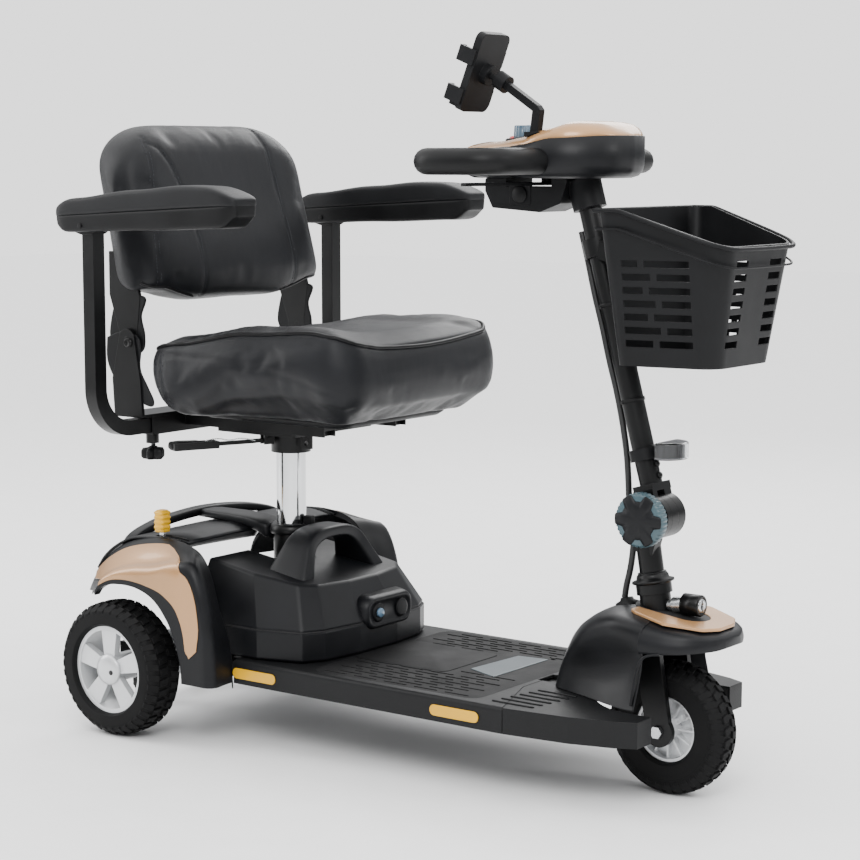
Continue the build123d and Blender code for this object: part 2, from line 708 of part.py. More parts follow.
# ---------------------------------------------------------------- cable bundles clipped to the tiller
cable_radius = 5.0
cable_side = 0.45


def cable(route, name):
    """Round cable along straight runs joined by arcs as large as the runs allow."""
    radii = []
    for before, corner, after in zip(route, route[1:], route[2:]):
        run_in = corner - before
        run_out = after - corner
        turn = math.radians(run_in.get_angle(run_out))
        radii.append(cable_side * min(run_in.length, run_out.length) / math.tan(turn / 2))
    print(name, "bend radii", [round(radius) for radius in radii])
    with BuildPart() as tube:
        with BuildLine():
            path = FilletPolyline(*route, radius=radii)
        with BuildSketch(Plane(origin=path @ 0, z_dir=path % 0)):
            Circle(cable_radius)
        sweep()
    print(name, "volume over section times length",
          round(tube.part.volume / (math.pi * cable_radius ** 2 * path.length), 4))
    save(tube, name)


def behind_tiller(along, out):
    """Point behind the tiller tube, out from its axis, along it from the fold pivot."""
    return tiller_foot.offset(along).origin - tiller_foot.x_dir * out


cable_meeting = Vector(rear_axle_x + 850, 0, 410)
upper_route = [behind_tiller(450, 24), behind_tiller(400, 24), behind_tiller(350, 25.5), behind_tiller(300, 24),
               behind_tiller(250, 25.5), behind_tiller(200, 24), behind_tiller(150, 26), behind_tiller(100, 31),
               behind_tiller(55, 40), Vector(rear_axle_x + 845, 0, 438), cable_meeting]
lower_route = [cable_meeting, Vector(rear_axle_x + 854.5, 0, 384.8), Vector(rear_axle_x + 852, 0, 360),
               Vector(rear_axle_x + 848, 0, 336), Vector(rear_axle_x + 842, 0, 314),
               Vector(rear_axle_x + 839, 0, 294)]
cable(upper_route, "harness_upper")
cable(lower_route, "harness_lower")

# ---------------------------------------------------------------- handlebar console
loop_z = 962.0
grip_radius = 20.0
loop_half_width = 229.0
console_bottom = 936.0
console_points = (
    # station, half width of the console seen from above
    (566, 52), (600, 66), (660, 82), (728, 106), (775, 100), (812, 78), (836, 40),
)
console_parting = ((560, 977), (700, 984), (770, 998), (845, 1000))
cover_top = ((566, 988), (640, 992), (700, 997), (740, 1005), (775, 1019), (800, 1024), (822, 1018), (836, 1001))
cover_inset = 2.0


def console_plan(inset):
    """Teardrop plan of the console, wide and round at the front."""
    half = [(station + (inset if station < 600 else 0) - (inset if station > 800 else 0), y - inset)
            for station, y in console_points]
    with BuildSketch(mode=Mode.PRIVATE) as plan:
        with BuildLine():
            Spline(*half)
            Spline(*[(station, -y) for station, y in half])
            Line(half[0], (half[0][0], -half[0][1]))
            ThreePointArc(half[-1], (half[-1][0] + 8, 0), (half[-1][0], -half[-1][1]))
        make_face()
    return plan.sketch


with BuildPart() as handlebar_grip:
    with BuildLine(top_plane(loop_z)) as loop_path:
        FilletPolyline((606, 0), (612, -loop_half_width + 20), (640, -loop_half_width), (718, -loop_half_width + 6),
                       (742, -loop_half_width + 40), (742, loop_half_width - 40), (718, loop_half_width - 6),
                       (640, loop_half_width), (612, loop_half_width - 20), radius=20, close=True)
    with BuildSketch(Plane(origin=loop_path.line @ 0, z_dir=loop_path.line % 0)):
        Circle(grip_radius)
    sweep(path=loop_path.line)
save(handlebar_grip, "handlebar_grip")

throttle_station = 690.0
throttle_hub_radius = 9.0
throttle_hub_height = 12.0
throttle_drop = 11.0
throttle_slot = 13.0
with BuildPart() as console_body:
    with BuildSketch(top_plane(console_bottom)):
        add(console_plan(0))
    extrude(amount=90)
    with BuildSketch(side_plane(160)):
        Polygon(*console_parting, (860, 1040), (540, 1040), align=None)
    extrude(amount=320, mode=Mode.SUBTRACT)
    add(handlebar_grip.part, mode=Mode.SUBTRACT)
    with BuildSketch(tiller_foot):
        Circle(tiller_radius)
    extrude(amount=tiller_end, mode=Mode.SUBTRACT)
    for station, y, radius in ((612, 26, 11), (652, -6, 6)):
        with BuildSketch(top_plane(975, station, y)):
            Circle(radius + slide_clearance)
        extrude(amount=60, mode=Mode.SUBTRACT)
    with BuildSketch(top_plane(console_bottom, throttle_station)):
        Circle(throttle_hub_radius + running_clearance)
    extrude(amount=throttle_hub_height, mode=Mode.SUBTRACT)
save(console_body, "console_body")

with BuildPart() as console_cover:
    with BuildSketch(top_plane(970)):
        add(console_plan(cover_inset))
    extrude(amount=70)
    with BuildSketch(side_plane(160)):
        Polygon((540, 940), (860, 940), *reversed(console_parting), (540, console_parting[0][1]), align=None)
    extrude(amount=320, mode=Mode.SUBTRACT)
    with BuildSketch(side_plane(160)):
        with BuildLine():
            skyline = Spline(*cover_top)
            Polyline(skyline @ 1, (860, 1060), (540, 1060), (555, 986), skyline @ 0)
        make_face()
    extrude(amount=320, mode=Mode.SUBTRACT)
    for station, y, radius in ((612, 26, 11), (652, -6, 6)):
        with BuildSketch(top_plane(970, station, y)):
            Circle(radius + slide_clearance)
        extrude(amount=80, mode=Mode.SUBTRACT)
    add(handlebar_grip.part, mode=Mode.SUBTRACT)
save(console_cover, "console_cover")

horn_radius = 11.0
with BuildPart() as horn_button:
    with BuildSketch(top_plane(984, 612, 26)):
        Circle(horn_radius)
    extrude(amount=18)
    fillet(horn_button.edges().group_by(Axis.Z)[-1], 6)
save(horn_button, "horn_button")

dial_radius = 17.0
dial_top = 1017.0
with BuildPart() as speed_dial:
    with BuildSketch(top_plane(994.5, 652, -6)):
        Circle(dial_radius)
    extrude(amount=dial_top - 994.5)
    fillet(speed_dial.edges().group_by(Axis.Z)[-1], 2)
    with BuildSketch(top_plane(978, 652, -6)):
        Circle(6)
    extrude(amount=20)
    with BuildSketch(top_plane(dial_top, 652, -6)):
        with Locations((9, 0)):
            Rectangle(14, 2)
    extrude(amount=-1.5, mode=Mode.SUBTRACT)
save(speed_dial, "speed_dial")

with BuildPart() as console_port_box:
    with BuildSketch(side_plane(36)):
        Polygon((598, console_bottom), (598, 916), (612, 890), (700, 884), (738, 898),
                (752, console_bottom), align=None)
    extrude(amount=72)
    fillet(console_port_box.edges().filter_by(Axis.Y), 4)
    with BuildSketch(leaning_plane(pivot_station, pivot_z, tiller_lean, 480)):
        Circle(26)
    extrude(amount=46)
    with BuildSketch(side_plane(60)):
        Polygon((500, console_bottom), (900, console_bottom), (900, 1000), (500, 1000), align=None)
    extrude(amount=120, mode=Mode.SUBTRACT)
    with BuildSketch(tiller_foot):
        Circle(tiller_radius)
    extrude(amount=tiller_end, mode=Mode.SUBTRACT)
    with BuildSketch(side_plane(60)):
        with Locations((throttle_station - 10, console_bottom)):
            Rectangle(84, 2 * throttle_slot)
    extrude(amount=120, mode=Mode.SUBTRACT)
save(console_port_box, "console_port_box")

# ---------------------------------------------------------------- throttle lever under the loop
with BuildPart() as throttle_lever:
    with BuildSketch(top_plane(console_bottom - throttle_drop, throttle_station)):
        Circle(throttle_hub_radius)
    extrude(amount=throttle_drop + throttle_hub_height - 1)
    with BuildSketch(top_plane(console_bottom - throttle_drop)):
        Polygon((684, 0), (660, -110), (652, -175), (664, -178), (680, -112), (700, 0),
                (680, 112), (664, 178), (652, 175), (660, 110), align=None)
    extrude(amount=5)
save(throttle_lever, "throttle_lever")

# ---------------------------------------------------------------- phone holder on the near side of the console
phone_y = -86.0
arm_section = 13.0
arm_foot = (726, 1003)
arm_tip = (664, 1082)
cradle_tilt = 22.0
cradle_width = 72.0
cradle_height = 124.0
cradle_thickness = 13.0
ball_radius = 9.0
ball_reach = 33.0
nut_radius = 14.0

nut_plane = Plane(origin=(rear_axle_x + arm_tip[0], phone_y, arm_tip[1]), x_dir=(0, 1, 0), z_dir=(-0.86, 0, 0.51))
ball_cavity = Pos(*nut_plane.origin) * Sphere(ball_radius + slide_clearance)
ball = Pos(*nut_plane.origin) * Sphere(ball_radius)
with BuildPart() as phone_arm:
    with BuildSketch(top_plane(arm_foot[1] - 9, arm_foot[0], phone_y)):
        RectangleRounded(30, 24, 4)
    extrude(amount=12)
    with BuildSketch(side_plane(phone_y + arm_section / 2)):
        with BuildLine():
            Polyline((719, 1000), (724, 1037), (663, 1076), (669, 1086), (733, 1045), (738, 1038), (733, 1000),
                     close=True)
        make_face()
    extrude(amount=arm_section)
    with BuildSketch(nut_plane.offset(-12)):
        Circle(nut_radius)
    extrude(amount=20)
    add(ball_cavity, mode=Mode.SUBTRACT)
    with BuildSketch(nut_plane.offset(3)):
        Circle(8)
    with BuildSketch(nut_plane.offset(8.1)):
        Circle(11)
    loft(mode=Mode.SUBTRACT)
    add(console_cover.part, mode=Mode.SUBTRACT)
    add(console_body.part, mode=Mode.SUBTRACT)
save(phone_arm, "phone_arm")

cradle_back = Vector(math.cos(math.radians(cradle_tilt)), 0, -math.sin(math.radians(cradle_tilt)))
cradle_centre = nut_plane.origin - cradle_back * (ball_reach + cradle_thickness / 2)
cradle_plane = Plane(origin=cradle_centre, x_dir=(0, 1, 0), z_dir=cradle_back)
with BuildPart() as phone_cradle:
    with BuildSketch(cradle_plane):
        RectangleRounded(cradle_width, cradle_height, 12)
    extrude(amount=cradle_thickness / 2, both=True)
    with BuildSketch(cradle_plane.offset(cradle_thickness / 2)):
        Circle(16)
    extrude(amount=12)
    with BuildSketch(cradle_plane.offset(cradle_thickness / 2)):
        Circle(4.5)
    extrude(amount=ball_reach)
    add(ball)
    for sign in sides.values():
        for place in (22, -40):
            with BuildSketch(cradle_plane.offset(-cradle_thickness / 2 - 16)):
                with Locations((sign * (cradle_width / 2 + 1), place)):
                    Rectangle(6, 24)
            extrude(amount=cradle_thickness + 14)
            with BuildSketch(cradle_plane.offset(-cradle_thickness / 2 - 20)):
                with Locations((sign * (cradle_width / 2 - 2), place)):
                    Rectangle(12, 24)
            extrude(amount=4)
    with BuildSketch(cradle_plane.offset(-cradle_thickness / 2 - 18)):
        with Locations((0, -cradle_height / 2 + 5)):
            Rectangle(50, 6)
    extrude(amount=cradle_thickness + 10)
save(phone_cradle, "phone_cradle")

# ---------------------------------------------------------------- basket and its bracket
basket_wall = 3.0
basket_floor_z = 664.0
basket_rim_rear_z = 893.0
basket_rim_front_z = 838.0
basket_rear_top = 866.0
basket_rear_bottom = 884.0
basket_front_top = 1074.0
basket_front_bottom = 1040.0
basket_top_half = 143.0
basket_bottom_half = 110.0
basket_front_half = 112.0
basket_corner = 34.0
slot_rows = 7
slot_height = 10.0
slot_pitch = 19.5
slot_first_z = 698.0


def basket_outline(rear, front, rear_half, front_half, inset):
    """Plan of the basket at one height, narrower at the front and well rounded there."""
    with BuildSketch(mode=Mode.PRIVATE) as outline:
        Polygon((rear + inset, -rear_half + inset), (front - inset, -front_half + inset),
                (front - inset, front_half - inset), (rear + inset, rear_half - inset), align=None)
        fillet(outline.vertices().group_by(Axis.X)[-1], basket_corner)
        fillet(outline.vertices().group_by(Axis.X)[0], basket_corner / 2)
    return outline.sketch


def basket_form(inset):
    """Tapered basket body between its floor and a level top, shrunk by inset."""
    top_z = basket_rim_rear_z + 10
    with BuildPart(mode=Mode.PRIVATE) as form:
        with BuildSketch(top_plane(basket_floor_z + inset)):
            add(basket_outline(basket_rear_bottom, basket_front_bottom, basket_bottom_half,
                               basket_front_half - 26, inset))
        with BuildSketch(top_plane(top_z)):
            add(basket_outline(basket_rear_top, basket_front_top, basket_top_half, basket_front_half, inset))
        loft(ruled=True)
    return form.part


with BuildPart() as basket:
    add(basket_form(0))
    add(basket_form(basket_wall), mode=Mode.SUBTRACT)
    for row in range(slot_rows):
        with BuildSketch(top_plane(slot_first_z + row * slot_pitch - slot_height / 2)):
            split = 952 + (16 if row % 2 else 0) - 3 * row
            for low, high in ((904, split - 5), (split + 5, 1008)):
                with Locations(((low + high) / 2, 0)):
                    Rectangle(high - low, 400)
            for sign in sides.values():
                with Locations((1060, sign * 50)):
                    Rectangle(80, 34)
        extrude(amount=slot_height, mode=Mode.SUBTRACT)
    with BuildSketch(side_plane(200)):
        Polygon((840, basket_rim_rear_z), (basket_rear_top + 40, basket_rim_rear_z),
                (basket_front_top, basket_rim_front_z), (1100, basket_rim_front_z), (1100, 960),
                (840, 960), align=None)
    extrude(amount=400, mode=Mode.SUBTRACT)
    with BuildSketch(side_plane(22)):
        Polygon((basket_rear_bottom - 24, 842), (basket_rear_bottom - 4, 842), (basket_rear_bottom + 2, 760),
                (basket_rear_bottom - 24, 760), align=None)
    extrude(amount=44)
    add(basket_form(basket_wall), mode=Mode.SUBTRACT)
save(basket, "basket")

bracket_along = 405.0
with BuildPart() as basket_bracket:
    with BuildSketch(tiller_foot.offset(bracket_along)):
        Circle(24)
    extrude(amount=28)
    with BuildSketch(side_plane(26)):
        Polygon((798, 816), (852, 800), (basket_rear_bottom - 25, 772), (basket_rear_bottom - 25, 842),
                (802, 842), align=None)
    extrude(amount=52)
    with BuildSketch(tiller_foot):
        Circle(tiller_radius)
        with Locations((-tiller_radius - 10, 0)):
            Rectangle(22, 2 * cable_radius + 4)
    extrude(amount=tiller_end, mode=Mode.SUBTRACT)
save(basket_bracket, "basket_bracket")

# ---------------------------------------------------------------- rear shroud, fenders, lever, carry handle
fender_inner_y = 204.0
fender_outer_y = 264.0
lever_station = 67.0
lever_rest = 42.0
lever_y = 190.0
lever_slot = 70.0
freewheel_pivot_z = 296.0
freewheel_grip_z = 342.0


def fender_side(inset):
    """Side view of a fender: domed over the tyre, its front edge running down to the deck."""
    with BuildSketch(mode=Mode.PRIVATE) as outline:
        with BuildLine():
            Polyline((-114 + inset, 226), (-92 + inset, 266 - inset), (-58, 298 - inset), (-12, 322 - inset),
                     (60, 333 - inset), (140, 318 - inset), (158 - inset, 296), (180 - inset, 226),
                     (210 - inset, 168), (210 - inset, deck_bottom + inset), (124 + inset, deck_bottom + inset))
            Spline((124 + inset, deck_bottom + inset), (121 + inset, 176), (74, 243 + inset),
                   (-10, 268 + inset), (-82, 240 + inset / 2), (-114 + inset, 226))
        make_face()
    return outline.sketch


with BuildPart() as rear_shroud:
    for sign in sides.values():
        outer = sign * (fender_outer_y if sign > 0 else fender_inner_y)
        with BuildSketch(side_plane(outer)):
            add(fender_side(0))
        extrude(amount=fender_outer_y - fender_inner_y)
    with BuildSketch(side_plane(fender_inner_y)):
        Polygon((-92, 259), (-58, 295.5), (-12, 319.5), (60, 322), (96, 312), (96, 318), (60, 328), (-16, 328),
                (-62, 303), (-97, 266), align=None)
    extrude(amount=2 * fender_inner_y)
    for sign in sides.values():
        with BuildSketch(side_plane((fender_outer_y - skin) if sign > 0 else -fender_inner_y + 1)):
            add(fender_side(skin))
        extrude(amount=fender_outer_y - skin - fender_inner_y + 1, mode=Mode.SUBTRACT)
        with BuildSketch(top_plane(300)):
            with Locations((lever_station, sign * lever_y)):
                Rectangle(lever_slot, 12)
        extrude(amount=60, mode=Mode.SUBTRACT)
    with BuildSketch(Plane(origin=(rear_axle_x - 52, 0, 0), x_dir=(0, 1, 0), z_dir=(1, 0, 0))):
        with BuildLine():
            arch = ThreePointArc((-196, 308), (0, 350), (196, 308))
            under = ThreePointArc((176, 306), (0, 333), (-176, 306))
            Line(arch @ 1, under @ 0)
            Line(under @ 1, arch @ 0)
        make_face()
    extrude(amount=24)
    with BuildSketch(side_plane(24)):
        Polygon((-34, 334), (40, 333), (120, 318), (136, 308), (136, 332), (112, 346), (60, 352), (-34, 350),
                align=None)
    extrude(amount=48)
    with BuildSketch(top_plane(socket_top, seat_post_station)):
        Circle(socket_outer_radius + 5)
        Circle(socket_outer_radius, mode=Mode.SUBTRACT)
    extrude(amount=-26)
    with BuildSketch(top_plane(290, seat_post_station)):
        Circle(socket_outer_radius)
    extrude(amount=90, mode=Mode.SUBTRACT)
    with BuildSketch(side_plane(-lever_y + 16, lever_rest, freewheel_pivot_z)):
        Circle(4)
    extrude(amount=34)
    with BuildSketch(side_plane(-lever_y + 16, lever_rest)):
        Polygon((-12, freewheel_pivot_z - 10), (12, freewheel_pivot_z - 10), (12, 324), (-12, 324), align=None)
    extrude(amount=4)
save(rear_shroud, "rear_shroud")

with BuildPart() as trim_panels:
    add(shroud_insert.part)
    for sign in sides.values():
        with BuildSketch(side_plane(sign * fender_outer_y + 2 * (sign > 0))):
            with BuildLine():
                Polyline((-66, 272), (-40, 300), (-8, 316), (58, 326), (132, 314), (150, 292), (170, 226),
                         (172, 180), (154, 178), (134, 196))
                Spline((134, 196), (86, 258), (2, 285), (-66, 272))
            make_face()
        extrude(amount=2)
save(trim_panels, "trim_panels")

with BuildPart() as freewheel_lever:
    with BuildSketch(side_plane(-lever_y + 3, lever_rest)):
        Polygon((-5, freewheel_pivot_z - 8), (5, freewheel_pivot_z - 8), (5, freewheel_grip_z + 3),
                (-5, freewheel_grip_z + 3), align=None)
        with Locations((0, freewheel_pivot_z)):
            Circle(9)
        with Locations((0, freewheel_pivot_z)):
            Circle(4 + running_clearance, mode=Mode.SUBTRACT)
    extrude(amount=6)
    with BuildSketch(top_plane(freewheel_grip_z, lever_rest, -lever_y)):
        RectangleRounded(22, 24, 4)
    extrude(amount=36)
    fillet(freewheel_lever.edges().group_by(Axis.Z)[-1], 4)
save(freewheel_lever, "freewheel_lever")

# ---------------------------------------------------------------- battery box
battery_foot_gap = 0.3
battery_rear = 100.0
battery_front = 357.0
battery_split_z = 198.0
battery_wall = 3.0
battery_rear_half = 188.0
battery_front_half = 150.0
notch_half = 38.0
cell_station = 269.5
cell_length = 150.0
cell_width = 98.0
cell_height = 80.0
port_y = 24.0
port_z = 211.0
battery_base = deck_top + battery_foot_gap


def battery_outline(front, rear_half, front_half, inset):
    """Plan of the battery box at one height, with chamfered front corners and a bowed front."""
    corner = front - 34
    half = [(battery_rear + inset, rear_half - inset), (corner - 74, rear_half - inset),
            (corner + 4 - inset, front_half + 16 - inset), (front - 10 - inset, front_half - 22 - inset),
            (front - inset, 50)]
    with BuildSketch(mode=Mode.PRIVATE) as outline:
        Polygon(*half, *[(station, -y) for station, y in reversed(half)], align=None)
    return outline.sketch


def battery_notch():
    """Channel in the box's rear that slides down past the seat post socket."""
    with BuildSketch(mode=Mode.PRIVATE) as notch:
        with Locations((seat_post_station, 0)):
            Circle(notch_half)
        with Locations((seat_post_station - 50, 0)):
            Rectangle(100, 2 * notch_half)
    return notch.sketch


def battery_solid(inset):
    """Whole battery box: upright below its parting line, faceted inwards above it."""
    with BuildPart(mode=Mode.PRIVATE) as form:
        for low, high, shrink in ((battery_base, battery_split_z, 0), (battery_split_z, 300, 1)):
            with BuildSketch(top_plane(low)):
                add(battery_outline(battery_front, battery_rear_half, battery_front_half, inset))
            with BuildSketch(top_plane(high)):
                add(battery_outline(battery_front - 52 * shrink, battery_rear_half - 52 * shrink,
                                    battery_front_half - 34 * shrink, inset))
            loft(ruled=True)
        with BuildSketch(side_plane(300)):
            Polygon((0, 309 - inset), (battery_rear, 296 - inset), (320, 266.3 - inset), (420, 252.8 - inset),
                    (420, 420), (0, 420), align=None)
        extrude(amount=600, mode=Mode.SUBTRACT)
        if inset:
            with BuildSketch(top_plane(battery_base - 1)):
                Rectangle(1200, 1200)
            extrude(amount=inset + 1, mode=Mode.SUBTRACT)
    return form.part


with BuildPart() as port_plate:
    with BuildSketch(Plane(origin=(rear_axle_x + battery_front - 9, port_y, port_z),
                           x_dir=(0, 1, 0), z_dir=(1, 0, 0))):
        SlotOverall(118, 50)
    extrude(amount=14)

battery_shell = battery_solid(0) - battery_solid(battery_wall)
above_parting = Pos(post_x, 0, battery_split_z + 300) * Box(1200, 1200, 600)
below_parting = Pos(post_x, 0, battery_split_z - 300) * Box(1200, 1200, 600)
notch_face = battery_notch()
with BuildSketch() as notch_ring:
    add(notch_face)
    offset(amount=battery_wall)
    add(notch_face, mode=Mode.SUBTRACT)

with BuildPart() as battery_case:
    add(battery_shell)
    add(above_parting, mode=Mode.SUBTRACT)
    with BuildSketch(top_plane(battery_base)):
        add(notch_face)
    extrude(amount=300, mode=Mode.SUBTRACT)
    with BuildSketch(top_plane(battery_base)):
        add(notch_ring.sketch)
    extrude(amount=battery_split_z - battery_base)
    add(port_plate.part, mode=Mode.SUBTRACT)
    with BuildSketch(top_plane(battery_base, battery_rear - 60)):
        Rectangle(120, 500)
    extrude(amount=300, mode=Mode.SUBTRACT)
save(battery_case, "battery_case")

handle_station = 240.0
handle_half_length = 34.0
with BuildPart() as battery_lid:
    add(battery_shell)
    add(below_parting, mode=Mode.SUBTRACT)
    with BuildSketch(side_plane(0)):
        with BuildLine():
            Polyline((handle_station - handle_half_length - 14, 279), (handle_station - 26, 345),
                     (handle_station + 26, 345), (handle_station + handle_half_length + 14, 268), close=True)
        make_face()
    extrude(amount=92, both=True)
    with BuildSketch(Plane(origin=(rear_axle_x, 0, 0), x_dir=(0, 1, 0), z_dir=(1, 0, 0))):
        with BuildLine():
            Polyline((-72, 240), (-50, 318), (-30, 329), (30, 329), (50, 318), (72, 240), close=True)
        make_face()
        with BuildLine():
            Polyline((-120, 262), (-95, 269), (-64, 338), (-44, 348), (-44, 420), (-120, 420), close=True)
        make_face()
        with BuildLine():
            Polyline((120, 262), (95, 269), (64, 338), (44, 348), (44, 420), (120, 420), close=True)
        make_face()
    extrude(amount=400, mode=Mode.SUBTRACT)
    add(battery_solid(battery_wall), mode=Mode.SUBTRACT)
    add(battery_shell)
    add(below_parting, mode=Mode.SUBTRACT)
    with BuildSketch(top_plane(battery_base)):
        add(notch_face)
    extrude(amount=300, mode=Mode.SUBTRACT)
    with BuildSketch(top_plane(battery_split_z)):
        add(notch_ring.sketch)
    extrude(amount=300 - battery_split_z)
    with BuildSketch(side_plane(300)):
        Polygon((0, 309), (battery_rear, 296), (handle_station - 49, 284), (handle_station - 49, 420), (0, 420),
                align=None)
    extrude(amount=600, mode=Mode.SUBTRACT)
    with BuildSketch(top_plane(battery_base, battery_rear - 60)):
        Rectangle(120, 500)
    extrude(amount=300, mode=Mode.SUBTRACT)
    add(port_plate.part)
    with BuildSketch(Plane(origin=(rear_axle_x + battery_front + 10, port_y, port_z),
                           x_dir=(0, 1, 0), z_dir=(1, 0, 0))):
        with Locations((-30, 0)):
            Circle(15)
    extrude(amount=-16, mode=Mode.SUBTRACT)
save(battery_lid, "battery_lid")

with BuildPart() as battery_cells:
    for sign in sides.values():
        with BuildSketch(top_plane(battery_base + battery_wall, cell_station, sign * (cell_width / 2 + 3))):
            Rectangle(cell_length - 30, cell_width)
        extrude(amount=cell_height)
save(battery_cells, "battery_cells")

with BuildPart() as port_flap:
    with BuildSketch(Plane(origin=(rear_axle_x + battery_front + 5.4, port_y, port_z),
                           x_dir=(0, 1, 0), z_dir=(1, 0, 0))):
        with Locations((30, 0)):
            Circle(16)
        with Locations((9, 0)):
            Rectangle(18, 12)
    extrude(amount=2.6)
save(port_flap, "port_flap")

# ---------------------------------------------------------------- seat base that swivels on the post
swivel_hub_radius = 34.0
swivel_hub_bottom = 468.0
base_plate_z = 508.0
base_plate = 6.0
rail_y = 95.0
rail_width = 24.0
rail_height = 10.0
lower_rail_rear = 70.0
lower_rail_front = 320.0
lever_pivot = Vector(rear_axle_x + 152, -46, 494)
lever_pin_radius = 3.0
lever_hub_half = 5.0
swivel_lever_length = 175.0
lever_heading = Vector(-62, -148, 0).normalized()
lever_side = Vector(-148, 62, 0).normalized()
lever_pin_plane = Plane(origin=lever_pivot, x_dir=lever_heading, z_dir=lever_side)

with BuildPart() as seat_base:
    with BuildSketch(top_plane(swivel_hub_bottom, seat_post_station)):
        Circle(swivel_hub_radius)
    extrude(amount=base_plate_z - swivel_hub_bottom)
    with BuildSketch(top_plane(base_plate_z, seat_post_station + 10)):
        RectangleRounded(170, 2 * rail_y + rail_width, 8)
    extrude(amount=base_plate)
    for sign in sides.values():
        with BuildSketch(top_plane(base_plate_z + base_plate)):
            with Locations(((lower_rail_rear + lower_rail_front) / 2, sign * rail_y)):
                Rectangle(lower_rail_front - lower_rail_rear, rail_width)
        extrude(amount=rail_height)
    for ear in (lever_hub_half + 0.5, -lever_hub_half - 3.5):
        with BuildSketch(lever_pin_plane.offset(ear)):
            with Locations((0, base_plate_z - lever_pivot.Z - 12)):
                Rectangle(18, 24)
        extrude(amount=3)
    with BuildSketch(lever_pin_plane.offset(-lever_hub_half - 5)):
        Circle(lever_pin_radius)
    extrude(amount=2 * lever_hub_half + 10)
    with BuildSketch(side_plane(-22)):
        with Locations((222, 494)):
            Rectangle(22, 30)
        with Locations((222, 488)):
            Circle(4, mode=Mode.SUBTRACT)
    extrude(amount=4)
    with BuildSketch(top_plane(swivel_hub_bottom, seat_post_station)):
        Circle(seat_post_diameter / 2 + running_clearance)
    extrude(amount=post_top + body_gap - swivel_hub_bottom, mode=Mode.SUBTRACT)
save(seat_base, "seat_base")

with BuildPart() as swivel_lever:
    with BuildSketch(lever_pin_plane.offset(-lever_hub_half)):
        Circle(7)
    extrude(amount=2 * lever_hub_half)
    with BuildSketch(lever_pin_plane.offset(-8)):
        with Locations((70, -4)):
            Rectangle(90, 5)
    extrude(amount=16)
    with BuildSketch(lever_pin_plane.offset(-lever_hub_half)):
        with Locations((16, -3.5)):
            Rectangle(24, 6)
    extrude(amount=2 * lever_hub_half)
    with BuildSketch(lever_pin_plane.offset(-13)):
        with Locations((swivel_lever_length - 40, -4)):
            Rectangle(80, 12)
    extrude(amount=26)
    fillet(swivel_lever.edges().filter_by(Axis.Z).sort_by(Axis.Y)[:2], 5)
    with BuildSketch(lever_pin_plane.offset(-lever_hub_half)):
        Circle(lever_pin_radius + running_clearance)
    extrude(amount=2 * lever_hub_half, mode=Mode.SUBTRACT)
save(swivel_lever, "swivel_lever")

# ---------------------------------------------------------------- seat frame that slides on the base
armrest_tube = 25.0
receiver_station = 7.0
receiver_z = 520.0
receiver_wall = 3.2
receiver_end = 190.0
upper_rail_front = 330.0
upper_rail_top = 532.0
upper_rail_wall = 2.7
hinge_pivot = (0.0, 666.0)
hinge_pin_radius = 5.0
back_half_width = 213.0
bracket_thickness = 6.0
hinge_plate_y = back_half_width + bracket_thickness + body_gap
knob_y = 174.0
knob_stud_radius = 4.0
boss_height = 16.0
receiver_outer = armrest_tube + 2 * (slide_clearance + receiver_wall)

with BuildPart() as seat_frame:
    with BuildSketch(side_plane(receiver_end, receiver_station, receiver_z)):
        Rectangle(receiver_outer, receiver_outer)
    extrude(amount=2 * receiver_end)
    for sign in sides.values():
        with BuildSketch(Plane(origin=(rear_axle_x, 0, 0), x_dir=(0, 1, 0), z_dir=(1, 0, 0)).offset(receiver_station)):
            with Locations((sign * rail_y, (base_plate_z + base_plate + upper_rail_top) / 2 + slide_clearance / 2)):
                Rectangle(rail_width + 2 * (slide_clearance + upper_rail_wall),
                          upper_rail_top - base_plate_z - base_plate - slide_clearance)
        extrude(amount=upper_rail_front - receiver_station)
        with BuildSketch(top_plane(base_plate_z + base_plate)):
            with Locations((receiver_station + receiver_outer / 2 + 200, sign * rail_y)):
                Rectangle(400, rail_width + 2 * slide_clearance)
        extrude(amount=rail_height + slide_clearance, mode=Mode.SUBTRACT)
        with BuildSketch(top_plane(receiver_z + receiver_outer / 2)):
            with Locations((2, sign * (hinge_plate_y + bracket_thickness + 60) / 2)):
                Rectangle(64, hinge_plate_y + bracket_thickness - 60)
        extrude(amount=5)
        hinge_outer = sign * hinge_plate_y + bracket_thickness * (sign > 0)
        with BuildSketch(side_plane(hinge_outer)):
            Polygon((-30, receiver_z + receiver_outer / 2), (34, receiver_z + receiver_outer / 2), (30, 600),
                    (16, 676), (-16, 676), (-34, 600), align=None)
            with Locations(hinge_pivot):
                Circle(18)
        extrude(amount=bracket_thickness)
        with BuildSketch(side_plane(sign * (back_half_width + 6.5) + 6.5)):
            with Locations(hinge_pivot):
                Circle(hinge_pin_radius)
        extrude(amount=13)
        with BuildSketch(top_plane(receiver_z - receiver_outer / 2, receiver_station, sign * knob_y)):
            Circle(11)
        extrude(amount=-boss_height)
    with BuildSketch(side_plane(receiver_end, receiver_station, receiver_z)):
        Rectangle(armrest_tube + 2 * slide_clearance, armrest_tube + 2 * slide_clearance)
    extrude(amount=2 * receiver_end, mode=Mode.SUBTRACT)
    for sign in sides.values():
        with BuildSketch(top_plane(receiver_z, receiver_station, sign * knob_y)):
            Circle(knob_stud_radius + running_clearance)
        extrude(amount=-60, mode=Mode.SUBTRACT)
save(seat_frame, "seat_frame")

